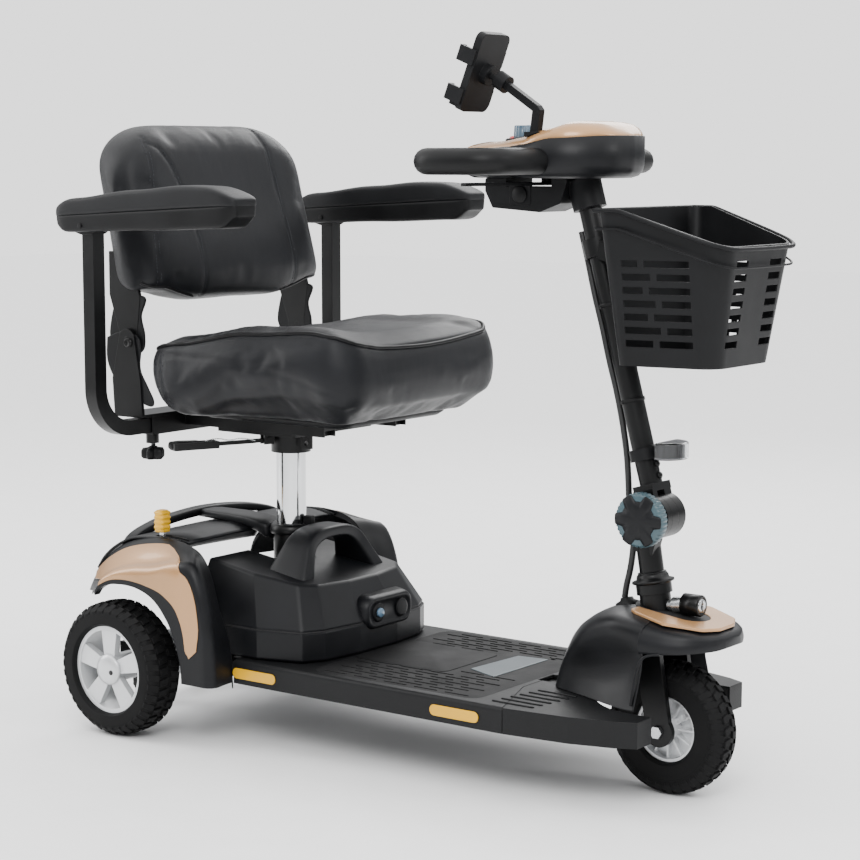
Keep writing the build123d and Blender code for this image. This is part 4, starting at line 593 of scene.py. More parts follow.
def stitch_line(bm, seam, tree, offset, pitch=0.0052, length=0.0036, radius=0.00045):
    """Short threads along a seam, offset to one side of it."""
    line = dense(seam, pitch)
    for first, second in zip(line, line[1:]):
        along = (second - first).normalized()
        place, normal, _, _ = tree.find_nearest((first + second) / 2)
        side = along.cross(normal).normalized()
        middle = place + side * offset + normal * radius * 0.6
        rings = []
        for k, swell in ((-0.5, 0.35), (-0.32, 1.0), (0.32, 1.0), (0.5, 0.35)):
            ring = []
            for i in range(6):
                angle = math.pi * i / 3
                ring.append(middle + along * length * k
                            + (side * math.cos(angle) + normal * math.sin(angle)) * radius * swell)
            rings.append(ring)
        add_loft(bm, rings)


def double_stitch(name, seams, tree, body, offset=0.0034):
    """Two rows of thread beside each seam."""
    bm = bmesh.new()
    for seam in seams:
        for side in (-1, 1):
            stitch_line(bm, seam, tree, side * offset)
    return finish_mesh(bm, name, THREAD, body)


def smoothstep(low, high, value):
    part = max(0.0, min(1.0, (value - low) / (high - low)))
    return part * part * (3 - 2 * part)


# seat cushion: contoured, with thigh bolsters, a lower front lip and piping round its top edge
CUSHION_LOW, CUSHION_HIGH = box_of("seat_cushion")
CUSHION_MIDDLE = (CUSHION_LOW + CUSHION_HIGH) / 2
CUSHION_SIZE = CUSHION_HIGH - CUSHION_LOW
CUSHION_SIDE_EDGE = ((0.0, 0.655), (0.10, 0.667), (0.52, 0.693), (0.80, 0.700), (0.92, 0.697), (1.0, 0.690))
CUSHION_SKIRT = ((0.0, 0.553), (0.12, 0.546), (0.25, 0.548), (0.48, 0.574), (0.72, 0.584), (1.0, 0.575))


def cushion_outline(grow, corner_front=0.052, corner_rear=0.024):
    """Plan of the cushion as points round its middle, grown or shrunk."""
    half_x = CUSHION_SIZE.x / 2 + grow + 0.005
    half_y = CUSHION_SIZE.y / 2 + grow + 0.004
    front = max(0.02, corner_front + grow)
    rear = max(0.012, corner_rear + grow)
    corners = (((half_x - front, half_y - front), front, 0), ((rear - half_x, half_y - rear), rear, 90),
               ((rear - half_x, rear - half_y), rear, 180), ((half_x - front, front - half_y), front, 270))
    outline = []
    for centre, radius, start in corners:
        outline += arc(centre, radius, start, start + 90, 10)
    dense_outline = []
    for first, second in zip(outline, outline[1:] + outline[:1]):
        steps = max(1, round(math.dist(first, second) / 0.03))
        dense_outline += [(first[0] + (second[0] - first[0]) * i / steps,
                           first[1] + (second[1] - first[1]) * i / steps)
                          for i in range(steps)]
    return [Vector((CUSHION_MIDDLE.x + u, CUSHION_MIDDLE.y + v, 0)) for u, v in dense_outline]


def cushion_along(point):
    return (point.x - CUSHION_LOW.x) / CUSHION_SIZE.x


def cushion_surface_z(point):
    """Height of the top: higher along the thighs, dished between them and at the front lip."""
    along = cushion_along(point)
    across = min(1.0, abs(point.y - CUSHION_MIDDLE.y) / (CUSHION_SIZE.y / 2))
    dish = 0.010 + 0.016 * smoothstep(0.3, 1.0, along)
    return graph(CUSHION_SIDE_EDGE, along) - dish * (1 - across ** 2)


def cushion_bottom_z(point):
    """Height of the skirt's edge: low at the rear, arched along the side, lower at the front middle."""
    across = abs(point.y - CUSHION_MIDDLE.y) / (CUSHION_SIZE.y / 2)
    along = cushion_along(point)
    return graph(CUSHION_SKIRT, along) - 0.010 * smoothstep(0.85, 1.0, along) * max(0.0, 1 - across ** 2)


def make_seat_cushion():
    bm = bmesh.new()
    rings = []
    rest_ring = cushion_outline(-0.048)
    for point in rest_ring:
        point.z = CUSHION_LOW.z + 0.0015
    rings.append(rest_ring)
    for grow, share in ((-0.020, 0.0), (-0.006, 0.05), (0.001, 0.20), (0.004, 0.40), (0.003, 0.60),
                        (-0.002, 0.80),
                        (-0.009, 0.94), (-0.014, 1.0)):
        ring = cushion_outline(grow)
        for point in ring:
            low, high = cushion_bottom_z(point), cushion_surface_z(point)
            point.x += 0.034 * (1 - share) ** 1.4 * smoothstep(0.25, 0.0, cushion_along(point))
            point.z = low + (high - low) * share
        rings.append(ring)
    centre = Vector((CUSHION_MIDDLE.x, CUSHION_MIDDLE.y, 0))
    for inward in (0.06, 0.14, 0.25, 0.4, 0.55, 0.7, 0.85, 0.96):
        ring = []
        for point in cushion_outline(-0.016):
            inner = point.lerp(centre, inward)
            inner.z = cushion_surface_z(inner) + 0.005 * math.sin(math.pi * min(1.0, inward * 2.4))
            ring.append(inner)
        rings.append(ring)
    add_loft(bm, rings)
    cushion = finish_mesh(bm, "seat_cushion_cover", VINYL, "seat")
    inflate(cushion, 0.005)
    tree = surface_of(cushion)
    edge = []
    for point in cushion_outline(-0.012):
        point.z = cushion_surface_z(point)
        edge.append(point)
    edge.append(edge[0])
    side_seams = []
    for sign in SIDES.values():
        seam = [at(station, sign * 216, z) for station, z in ((44, 646), (110, 645), (189, 641), (250, 637),
                                                              (309, 630),
                                                            (360, 620), (402, 607), (450, 592))]
        side_seams.append(snap(dense(seam, 0.012), tree))
    corner_seams = []
    for sign in SIDES.values():
        for back in (0.010, 0.024):
            seam = [at(38 + back * 1000 + (650 - z) * 0.28, sign * 212, z) for z in (556, 580, 605, 630, 648)]
            corner_seams.append(snap(dense(seam, 0.01), tree))
    edge_line = snap(dense(edge, 0.01), tree)
    sew(cushion, side_seams + corner_seams + [edge_line])
    tree = surface_of(cushion)
    tube("seat_piping", snap(edge_line[:-1], tree, 0.0014), 0.0034, VINYL_PIPING, "seat", True)
    double_stitch("seat_stitches", corner_seams, tree, "seat", 0.0026)
    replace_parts(cushion, "seat_cushion")


make_seat_cushion()

# backrest: wide, arched at the top, wings curving forward, with sewn panels and a piped lower edge
BACK_LOW, BACK_HIGH = box_of("backrest_cushion")
BACK_HALF = BACK_HIGH.y + 0.018
BACK_BOTTOM = BACK_LOW.z + 0.004
BACK_TOP = BACK_HIGH.z - 0.008
BACK_LEAN = 0.235


def back_point(u, v, side):
    """Point on the backrest: u across from -1 to 1, v up from 0 to 1, side 1 front and -1 rear."""
    across = abs(u)
    low = BACK_BOTTOM + 0.024 * smoothstep(0.42, 1.0, across)
    corner = max(0.0, (across - 0.56) / 0.44)
    high = BACK_TOP - 0.010 * across ** 2 - 0.088 * (1 - math.sqrt(max(0.0, 1 - corner ** 2)))
    z = low + (high - low) * v
    y = BACK_HALF * u * (1 - 0.010 * v)
    fade = (max(0.0, 1 - across ** 14) ** 0.45) * (max(0.0, 1 - abs(2 * v - 1) ** 10) ** 0.45)
    thickness = (0.055 - 0.004 * v) * fade
    lumbar = 0.008 * math.exp(-((v - 0.28) / 0.25) ** 2) * (1 - across ** 2)
    hollow = 0.007 * (1 - across ** 2)
    middle = AXLE_X + 0.020 - (z - BACK_BOTTOM) * BACK_LEAN
    return Vector((middle + side * thickness + (lumbar - hollow if side > 0 else 0), y, z))


def make_backrest():
    bm = bmesh.new()
    columns, rows = 56, 44

    def spread(i, count):
        return -math.cos(math.pi * i / count)

    rim = {}
    for side in (1, -1):
        grid = []
        for j in range(rows + 1):
            v = (spread(j, rows) + 1) / 2
            line = []
            for i in range(columns + 1):
                on_rim = i in (0, columns) or j in (0, rows)
                if on_rim and (i, j) in rim:
                    line.append(rim[i, j])
                    continue
                vertex = bm.verts.new(back_point(spread(i, columns), v, side))
                if on_rim:
                    rim[i, j] = vertex
                line.append(vertex)
            grid.append(line)
        for j in range(rows):
            for i in range(columns):
                bm.faces.new((grid[j][i], grid[j][i + 1], grid[j + 1][i + 1], grid[j + 1][i]))
    backrest = finish_mesh(bm, "backrest_cover", VINYL, "backrest")
    inflate(backrest, 0.004)
    tree = surface_of(backrest)

    def seam_between(points):
        return snap(dense([back_point(u, v, 1) for u, v in points], 0.01), tree)

    seams = [
        seam_between([(-0.86, 0.03), (-0.85, 0.35), (-0.80, 0.65), (-0.74, 0.97)]),
        seam_between([(0.60, 0.03), (0.585, 0.35), (0.56, 0.65), (0.53, 0.985)]),
        seam_between([(-0.42, 0.02), (-0.43, 0.3), (-0.46, 0.55), (-0.56, 0.76), (-0.66, 0.87),
                      (-0.755, 0.93)]),
    ]
    lower = seam_between([(-0.985, 0.06), (-0.8, 0.035), (-0.5, 0.02)])
    lower_far = seam_between([(0.5, 0.02), (0.8, 0.035), (0.985, 0.06)])
    sew(backrest, seams + [lower, lower_far])
    tree = surface_of(backrest)
    double_stitch("backrest_stitches", seams, tree, "backrest")
    tube("backrest_piping_right", snap(lower, tree, 0.001), 0.0026, VINYL_PIPING, "backrest")
    tube("backrest_piping_left", snap(lower_far, tree, 0.001), 0.0026, VINYL_PIPING, "backrest")
    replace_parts(backrest, "backrest_cushion")


make_backrest()


# ---------------------------------------------------------------- armrests
def make_armrest(side):
    """Crowned pad over a tapered shell, with its pivot bracket and bolt."""
    node = f"armrest_{side}"
    low, high = box_of(node)
    middle = (low.y + high.y) / 2
    half = (high.y - low.y) / 2 - 0.001
    length = high.x - low.x
    count = 28

    pad_top = ((0.0, 0.893), (0.10, 0.903), (0.45, 0.917), (0.72, 0.925), (0.84, 0.924), (1.0, 0.911))
    shell_bottom = ((0.0, 0.858), (0.05, 0.8465), (0.5, 0.852), (0.93, 0.858), (1.0, 0.876))

    def section(along, shape):
        """Half width, bottom and top of the pad or the shell at a place along the arm."""
        tip = math.sqrt(max(0.0, 1 - max(0.0, (along - 0.93) / 0.07) ** 2))
        tail = math.sqrt(max(0.0, 1 - max(0.0, (0.06 - along) / 0.06) ** 2))
        ends = 0.72 + 0.28 * min(tip, tail)
        split = 0.8735 + 0.022 * along
        if shape == "pad":
            crown = 0.45 + 0.55 * min(tip, tail)
            return half * ends, split - 0.0030, split + (graph(pad_top, along) - split) * crown
        return half * ends * 0.96, graph(shell_bottom, along), split + 0.0008

    for shape, material in (("pad", PAD), ("shell", SHELL)):
        bm = bmesh.new()
        rings = []
        for i in range(count + 1):
            along = 0.5 - 0.5 * math.cos(math.pi * i / count)
            width, bottom, top = section(along, shape)
            x = low.x + 0.001 + (length - 0.002) * along
            ring = []
            for step in range(24):
                angle = 2 * math.pi * (step + 0.5) / 24
                u, v = math.cos(angle), math.sin(angle)
                power = 0.36 if shape == "pad" else 0.24
                u = math.copysign(abs(u) ** power, u)
                v = math.copysign(abs(v) ** power, v)
                if shape == "shell" and v < 0:
                    u *= 1 - 0.10 * abs(v)
                ring.append(Vector((x, middle + u * width, (bottom + top) / 2 + v * (top - bottom) / 2)))
            rings.append(ring)
        add_loft(bm, rings)
        piece = finish_mesh(bm, f"armrest_{shape}_{side}", material, node)
        modifier(piece, "SUBSURF", levels=1, render_levels=1)
        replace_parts(piece, node)

    pivot = at(7, 0, 858)
    bm = bmesh.new()
    outline = [(-0.034, 0.012), (-0.030, -0.010), (-0.012, -0.015), (0.012, -0.014), (0.030, -0.004),
               (0.052, 0.001), (0.075, 0.003), (0.075, 0.016), (-0.020, 0.016)]
    for cheek in (-1, 1):
        extrude_outline(bm, outline, 0.0025,
                        lambda u, v, w, c=cheek: Vector((pivot.x + u, middle + c * 0.0138 + c * w,
                                                         pivot.z + v)))
    bracket = bevelled(finish_mesh(bm, f"armrest_bracket_{side}", COATED, node, False),
                       0.0008, 2)
    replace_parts(bracket, node)
    bm = bmesh.new()
    for cheek in (-1, 1):
        lathe(bm, [(0.002, 0.0), (0.0068, 0.0), (0.0068, 0.0022), (0.0050, 0.0042), (0.0022, 0.0052),
                   (0.0005, 0.0053)],
              Vector((pivot.x, middle + cheek * 0.0163, pivot.z)), (0, cheek, 0), 20)
    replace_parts(finish_mesh(bm, f"armrest_bolt_{side}", COATED, node), node)


for side_name in SIDES:
    make_armrest(side_name)


# ---------------------------------------------------------------- tyres and wheels
def make_tyre(node, body, blocks, rim_radius):
    """Rounded carcass with staggered tread blocks and shoulder lugs."""
    low, high = box_of(node)
    centre = (low + high) / 2
    outer = (high.z - low.z) / 2
    half = (high.y - low.y) / 2
    base = outer - 0.0042
    bm = bmesh.new()
    profile = []
    bead = rim_radius - 0.001
    for step in range(25):
        angle = math.pi * step / 24
        across = -half * 0.985 * math.copysign(abs(math.cos(angle)) ** 0.72, math.cos(angle))
        radius = bead + (base - bead) * math.sin(angle) ** 0.42
        profile.append((radius, across))
    profile = [(bead - 0.004, -half * 0.80)] + profile + [(bead - 0.004, half * 0.80)]
    rings = []
    for radius, across in profile:
        rings.append([Vector((centre.x + radius * math.cos(2 * math.pi * i / 96), centre.y + across,
                              centre.z + radius * math.sin(2 * math.pi * i / 96))) for i in range(96)])
    rings.append(rings[0])
    add_loft(bm, rings[:-1], closed_ends=False)
    bm.verts.ensure_lookup_table()
    first = bm.verts[:96]
    last = bm.verts[-96:]
    for i in range(96):
        j = (i + 1) % 96
        bm.faces.new((last[i], last[j], first[j], first[i]))

    def surface(angle, across, lift):
        share = min(0.999, abs(across) / (half * 0.985))
        bend = math.acos(share ** (1 / 0.72))
        radius = bead + (base - bead) * math.sin(bend) ** 0.42
        slope = smoothstep(0.70, 1.0, share)
        return Vector((centre.x + (radius + lift * (1 - 0.6 * slope)) * math.cos(angle),
                       centre.y + across + math.copysign(lift * 0.35 * slope, across),
                       centre.z + (radius + lift * (1 - 0.6 * slope)) * math.sin(angle)))

    step_angle = 2 * math.pi / blocks
    lanes = ((-0.97, -0.62, 0.0, 0.62, 0.08), (-0.55, -0.10, 0.5, 0.60, -0.10), (0.10, 0.55, 0.0, 0.60, 0.10),
             (0.62, 0.97, 0.5, 0.62, -0.08))
    for start, stop, phase, fill, skew in lanes:
        for k in range(blocks):
            middle = step_angle * (k + phase)
            top, bottom = [], []
            for across_share, angle_share in ((start, -fill / 2), (stop, -fill / 2), (stop, fill / 2),
                                              (start, fill / 2)):
                twist = skew * (1 if across_share == start else -1)
                angle = middle + step_angle * (angle_share + twist)
                across = half * 0.985 * across_share
                top.append(surface(angle, across * 0.985, 0.0040))
                bottom.append(surface(angle, across, -0.0015))
            add_loft(bm, [bottom, top])
    tyre = finish_mesh(bm, f"{node}_tread", TYRE, body)
    bevelled(tyre, 0.0008, 1, 40)
    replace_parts(tyre, node)
    bm = bmesh.new()
    for sign in (-1, 1):
        y = centre.y + sign * half * 0.93
        for radius, tall in ((bead + (base - bead) * 0.38, 0.0006), (bead + (base - bead) * 0.52, 0.0005)):
            ring = [(radius - 0.0010, 0.0), (radius, tall), (radius + 0.0010, 0.0)]
            rings = []
            for r, lift in ring:
                rings.append([Vector((centre.x + r * math.cos(2 * math.pi * i / 96),
                                      y + sign * (lift + 0.0012),
                                      centre.z + r * math.sin(2 * math.pi * i / 96))) for i in range(96)])
            add_loft(bm, rings, closed_ends=False)
    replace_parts(finish_mesh(bm, f"{node}_sidewall_lines", TYRE, body), node)


make_tyre("rear_tyre_left", "rear_wheel_left", 38, 0.079)
make_tyre("rear_tyre_right", "rear_wheel_right", 38, 0.079)
make_tyre("front_tyre", "front_wheel", 34, 0.0565)


def make_hub_cap(side, sign):
    """Domed silver cap, with a near-black disc on it as painted shade for its small screw recess."""
    low, high = box_of(f"rear_rim_{side}")
    centre = (low + high) / 2
    face = high.y if sign > 0 else low.y
    bm = bmesh.new()
    lathe(bm, [(0.0, -0.004), (0.0255, -0.004), (0.0262, 0.0005), (0.0248, 0.0030), (0.018, 0.0052),
               (0.009, 0.0062), (0.0002, 0.0065)], Vector((centre.x, face, centre.z)), (0, sign, 0), 40)
    finish_mesh(bm, f"hub_cap_{side}", RIM, f"rear_wheel_{side}")
    # near-black disc on the cap: painted shade in the screw recess
    bm = bmesh.new()
    lathe(bm, [(0.0, 0.0), (0.0042, 0.0), (0.0042, 0.0009), (0.0002, 0.0009)],
          Vector((centre.x + 0.011, face + sign * 0.0054, centre.z - 0.003)), (0, sign, 0), 16)
    finish_mesh(bm, f"hub_screw_recess_shade_{side}", BLACK_AND_SHADE, f"rear_wheel_{side}")


for side_name, side_sign in SIDES.items():
    make_hub_cap(side_name, side_sign)


# ---------------------------------------------------------------- deck: reflectors, rib mat, label plate
def make_reflectors():
    """Yellow oblong reflectors, two on each flank of the deck."""
    low, high = box_of("deck_pan")
    for side, sign in SIDES.items():
        face = high.y if sign > 0 else low.y
        for name, station in (("rear", 257), ("front", 662)):
            bm = bmesh.new()
            centre = at(station, 0, 125)
            outline = rounded_rectangle(0.092, 0.0175, 0.0086)
            extrude_outline(bm, outline, 0.0022,
                            lambda u, v, w: Vector((centre.x + u, face + sign * w, centre.z + v)))
            piece = finish_mesh(bm, f"reflector_{name}_{side}", REFLECTOR, "chassis", False)
            bevelled(piece, 0.0009, 2)


def raised_dash(bm, centre, length, width, height):
    """A low rounded rib lying on the deck."""
    outline = rounded_rectangle(length, width, width * 0.49, 3)
    smaller = rounded_rectangle(length - width * 0.5, width * 0.55, width * 0.27, 3)
    add_loft(bm, [[centre + Vector((u, v, 0)) for u, v in outline],
                  [centre + Vector((u, v, height)) for u, v in smaller]])


def make_mat_ribs():
    """Rows of short ribs round the mat's smooth centre panel."""
    low, high = box_of("deck_mat")
    bm = bmesh.new()
    row_pitch, dash, gap = 0.0135, 0.046, 0.014
    rows = int((high.y - low.y - 0.024) / row_pitch)
    panel_low = Vector((AXLE_X + 0.375, -0.072, 0))
    panel_high = Vector((AXLE_X + 0.545, 0.088, 0))
    for row in range(rows + 1):
        y = low.y + 0.012 + row * (high.y - low.y - 0.024) / rows
        x = low.x + 0.020 + (row % 3) * 0.020
        while x + dash < high.x - 0.016:
            middle = x + dash / 2
            beside_panel = panel_low.x - dash / 2 < middle < panel_high.x + dash / 2
            inside_panel = beside_panel and panel_low.y < y < panel_high.y
            beside_label = AXLE_X + 0.548 < middle + dash / 2 and middle - dash / 2 < AXLE_X + 0.655
            inside_label = beside_label and -0.045 < y < 0.115
            if not inside_panel and not inside_label:
                raised_dash(bm, Vector((middle, y, high.z - 0.0002)), dash, 0.0042, 0.0013)
            x += dash + gap
    finish_mesh(bm, "mat_ribs", MAT, "chassis")
    bm = bmesh.new()
    outline = rounded_rectangle(0.190, 0.165, 0.020)
    inner = rounded_rectangle(0.185, 0.160, 0.018)
    centre = Vector((AXLE_X + 0.452, 0.006, high.z - 0.0002))
    add_loft(bm, [[centre + Vector((u, v, 0)) for u, v in outline],
                  [centre + Vector((u, v, 0.0012)) for u, v in inner]])
    finish_mesh(bm, "mat_panel", MAT, "chassis")


def make_deck_label():
    """Blank grey-blue plate with a screw at its end."""
    high = box_of("deck_mat")[1]
    corners = [at(566, -27, 0), at(576, 95, 0), at(630, 103, 0), at(628, -51, 0)]
    bm = bmesh.new()
    middle = sum(corners, Vector()) / 4
    rings = []
    for shrink, lift in ((1.0, -0.0002), (1.0, 0.0010), (0.97, 0.0014)):
        rings.append([Vector((*(middle.lerp(corner, shrink)).xy, high.z + lift)) for corner in corners])
    add_loft(bm, rings)
    bevelled(finish_mesh(bm, "deck_label", LABEL, "chassis", False), 0.0012, 2, 25)
    bm = bmesh.new()
    lathe(bm, [(0.0, 0.0), (0.0042, 0.0), (0.0036, 0.0022), (0.0002, 0.0026)],
          Vector((AXLE_X + 0.634, 0.112, high.z)), (0, 0, 1), 20)
    finish_mesh(bm, "deck_screw", BLACK_AND_SHADE, "chassis")


def make_front_deck_ribs():
    """Long rounded ribs that follow the wings of the front deck."""
    high = box_of("front_deck")[1]
    bm = bmesh.new()
    for sign in SIDES.values():
        for row in range(6):
            start = at(712 + row * 4, sign * (176 - row * 19), 0)
            finish = at(790 + row * 3, sign * (176 - row * 19 - 2), 0)
            along = (finish - start)
            centre = (start + finish) / 2
            centre.z = high.z - 0.0002
            raised_dash(bm, centre, along.length, 0.0075, 0.0020)
    finish_mesh(bm, "front_deck_ribs", DECK_SKIN, "chassis")


make_reflectors()
make_mat_ribs()
make_deck_label()
make_front_deck_ribs()


# ---------------------------------------------------------------- rear body: fenders, cover, carry arch
FENDER_CREST = ((-112, 228), (-98, 262), (-64, 296), (-14, 322), (60, 334), (128, 323), (160, 292),
                (182, 228),
                (204, 172), (210, 108))
FENDER_SHOULDER = ((-50, 240), (-30, 266), (0, 282), (40, 292), (80, 298), (130, 309), (168, 308), (192, 270),
                   (208, 205), (214, 150), (216, 108))
FENDER_ARCH = ((-47, 233), (-34, 247), (-4, 257), (45, 257), (87, 242), (117, 212), (134, 181), (146, 146),
               (149, 126), (150, 108))
FENDER_INNER, FENDER_OUTER = 203.5, 264.0
FENDER_ROUND = 17.0


def fender_point(place, around, sign, lift=0.0):
    """Point of a fender's skin: place runs rear to foot, around runs inner top, shoulder, then side face."""
    crest, shoulder, arch = (through(line, 60) for line in (FENDER_CREST, FENDER_SHOULDER, FENDER_ARCH))
    index = place * 60
    low = min(59, int(index))
    part = index - low

    def between(line):
        return Vector((line[low][0] + (line[low + 1][0] - line[low][0]) * part,
                       line[low][1] + (line[low + 1][1] - line[low][1]) * part))

    ridge, top, edge = between(crest), between(shoulder), between(arch)
    along = Vector((crest[low + 1][0] - crest[low][0], crest[low + 1][1] - crest[low][1])).normalized()
    outward = Vector((-along.y, along.x))
    down = (edge - top)
    length = down.length
    down.normalize()
    radius = min(FENDER_ROUND, length * 0.45)
    if around <= 0.4:
        share = around / 0.4
        y = FENDER_INNER + (FENDER_OUTER - radius - FENDER_INNER) * share
        flat, turn = ridge.lerp(top, share ** 1.6), 0.0
    elif around <= 0.65:
        turn = (around - 0.4) / 0.25 * math.pi / 2
        y = FENDER_OUTER - radius + radius * math.sin(turn)
        flat = top + down * radius * (1 - math.cos(turn))
    else:
        turn = math.pi / 2
        y = FENDER_OUTER
        flat = top + down * (radius + (length - radius) * (around - 0.65) / 0.35)
    flat = flat + outward * lift * math.cos(turn)
    return at(flat.x, sign * (y + lift * math.sin(turn)), flat.y)


def grid_mesh(bm, rows, skip=None):
    """Faces over rows of points, leaving out cells for which skip(row, column) is true."""
    verts = [[bm.verts.new(point) for point in row] for row in rows]
    for j in range(len(rows) - 1):
        for i in range(len(rows[0]) - 1):
            if skip is None or not skip(j, i):
                bm.faces.new((verts[j][i], verts[j][i + 1], verts[j + 1][i + 1], verts[j + 1][i]))
    return verts


def make_fender(side, sign):
    rounds = [0, 0.2, 0.4, 0.45, 0.5, 0.55, 0.6, 0.65, 0.72, 0.79, 0.86, 0.93, 1.0]
    bm = bmesh.new()
    rows = []
    for step in range(49):
        place = step / 48
        row = [fender_point(place, around, sign) for around in rounds]
        inner_lip = row[-1] - Vector((0, sign * 0.012, 0))
        rows.append([row[0] - Vector((0, 0, 0.010))] + row + [inner_lip])
    grid_mesh(bm, rows)
    fender = finish_mesh(bm, f"fender_{side}", SATIN, "chassis")
    modifier(fender, "SOLIDIFY", thickness=0.0028, offset=-1)
    bevelled(fender, 0.0018, 2, 50)
    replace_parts(fender, "rear_shroud")
    bm = bmesh.new()
    rows = []
    for step in range(41):
        share = step / 40
        place = 0.075 + 0.755 * share
        taper = 1 - smoothstep(0.92, 1.0, share)
        top = 0.16 + 0.50 * smoothstep(0.52, 0.66, share)
        low = 0.80 + 0.02 * smoothstep(0.3, 0.7, share) + 0.06 * smoothstep(0.1, 0.5, share)
        middle = (top + low) / 2 + 0.03 * smoothstep(0.8, 1.0, share)
        half = (low - top) / 2 * (0.55 + 0.45 * taper) * (0.72 + 0.28 * smoothstep(0.0, 0.06, share))
        rows.append([fender_point(place, middle + half * (k / 8 - 1), sign, 0.7) for k in range(17)])
    grid_mesh(bm, rows)
    insert = finish_mesh(bm, f"fender_insert_{side}", CHAMPAGNE, "chassis")
    modifier(insert, "SOLIDIFY", thickness=0.0014, offset=0)
    bevelled(insert, 0.0006, 2, 50)
    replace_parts(insert, "trim_panels")


def rounded_section(centre, across, upward, half_width, half_height, power=0.35, count=20):
    """Ring of a soft-cornered bar about its centre."""
    ring = []
    for step in range(count):
        angle = 2 * math.pi * (step + 0.5) / count
        u = math.copysign(abs(math.cos(angle)) ** power, math.cos(angle))
        v = math.copysign(abs(math.sin(angle)) ** power, math.sin(angle))
        ring.append(centre + across * u * half_width + upward * v * half_height)
    return ring


def make_rear_cover():
    """Plate between the fenders with its two lever slots, the carry arch, the spine and the post's collar."""
    profile = through(((-97, 264), (-82, 284), (-62, 301), (-38, 315), (-14, 324), (20, 328), (60, 329),
                       (96, 322)), 24)
    stations = [point[0] for point in profile]
    sides = [-204, -196.5, -183.5, -140, -90, -30, 30, 90, 140, 183.5, 196.5, 204]
    rows = [[at(station, y, z + 4 * (1 - (y / 204) ** 2)) for y in sides] for station, z in profile]

    def in_slot(row, column):
        return 32 <= (stations[row] + stations[row + 1]) / 2 and column in (1, len(sides) - 3)

    bm = bmesh.new()
    grid_mesh(bm, rows, in_slot)
    plate = finish_mesh(bm, "rear_cover_plate", SATIN, "chassis")
    modifier(plate, "SOLIDIFY", thickness=0.004, offset=1)
    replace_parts(plate, "rear_shroud")
    across = Vector((1, 0, 0))
    rings = []
    for y, z in through(((-200, 300), (-188, 318), (-150, 331), (-90, 341), (0, 346), (90, 341), (150, 331),
                         (188, 318), (200, 300)), 40):
        upward = Vector((0, -y / 700, 1)).normalized()
        rings.append(rounded_section(at(-40 + 6 * (y / 200) ** 2, y, z), across, upward, 0.0125, 0.0080, 0.5))
    bm = bmesh.new()
    add_loft(bm, rings)
    arch = finish_mesh(bm, "carry_arch", SATIN, "chassis")
    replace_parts(arch, "rear_shroud")
    rings = []
    for station, z, half, tall in ((-34, 343, 20, 7), (-10, 344, 24, 8), (40, 343, 27, 9), (84, 341, 29, 10),
                                   (112, 336, 31, 12), (128, 330, 30, 14), (134, 328, 26, 13)):
        rings.append(rounded_section(at(station, 0, z), Vector((0, 1, 0)), Vector((0, 0, 1)), half * MM,
                                     tall * MM, 0.45))
    bm = bmesh.new()
    add_loft(bm, rings)
    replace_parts(finish_mesh(bm, "cover_spine", SATIN, "chassis"), "rear_shroud")
    bm = bmesh.new()
    lathe(bm, [(0.0275, -0.004), (0.0365, -0.004), (0.0375, 0.0), (0.0365, 0.009), (0.0320, 0.013),
               (0.0275, 0.013),
               (0.0262, 0.010)], at(166, 0, 331), (0, 0, 1), 48)
    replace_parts(finish_mesh(bm, "post_collar", COATED, "chassis"), "rear_shroud")
    bm = bmesh.new()
    add_box(bm, (-0.008, -0.0075, 0), (0.007, 0.0075, 0.026), Matrix.Translation(at(201, 6, 333)))
    bevelled(finish_mesh(bm, "post_clip", PLASTIC, "chassis", False), 0.003, 3)


def make_freewheel_lever():
    """Wavy yellow grip on a bare metal stem, with its slot plate and a plain yellow arrow beside it."""
    low, high = box_of("freewheel_lever")
    centre = (low + high) / 2
    bm = bmesh.new()
    rings = []
    for step in range(31):
        share = step / 30
        wave = 0.0012 * math.cos(2 * math.pi * 4.5 * share)
        swell = 1 - 0.20 * smoothstep(0.90, 1.0, share) - 0.12 * smoothstep(0.10, 0.0, share)
        z = high.z - 0.037 + 0.0368 * share
        outline = rounded_rectangle((0.0205 + wave) * swell, (0.0225 + wave) * swell, 0.0045, 4)
        rings.append([Vector((centre.x + u, centre.y + v, z)) for u, v in outline])
    add_loft(bm, rings)
    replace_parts(finish_mesh(bm, "freewheel_grip", YELLOW, "freewheel_lever"),
                "freewheel_lever")
    bm = bmesh.new()
    add_box(bm, (-0.005, -0.0028, 0), (0.005, 0.0028, 0.050),
            Matrix.Translation(Vector((centre.x, centre.y, low.z + 0.004))))
    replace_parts(bevelled(finish_mesh(bm, "freewheel_stem", STEEL, "freewheel_lever", False),
                         0.001, 2),
                "freewheel_lever")
    bm = bmesh.new()
    for y in (-198.5, -181.5):
        rings = [rounded_section(at(station, y, graph(((28, 330.6), (60, 333.0), (96, 331.0)), station)),
                                 Vector((0, 1, 0)),
                                 Vector((0, 0, 1)), 0.0016, 0.0012, 0.6, 8) for station in range(28, 98, 6)]
        add_loft(bm, rings)
    finish_mesh(bm, "freewheel_slot_edges", PLASTIC, "chassis")
    bm = bmesh.new()
    arrow = ((36, -168), (74, -168), (74, -173), (90, -162), (74, -151), (74, -156), (36, -156))
    top = [at(station, y, graph(((20, 330.4), (60, 331.2), (96, 326)), station) + 1.9) for station,
           y in arrow]
    add_loft(bm, [[point - Vector((0, 0, 0.0016)) for point in top], top])
    finish_mesh(bm, "freewheel_arrow", YELLOW, "chassis", False)


for side_name, side_sign in SIDES.items():
    make_fender(side_name, side_sign)
make_rear_cover()
make_freewheel_lever()


# ---------------------------------------------------------------- battery box with its arched handle
BATTERY_SPLIT = 198.0


def battery_top(station):
    """Height of the battery's sloping top."""
    return 309.0 - 0.1338 * station


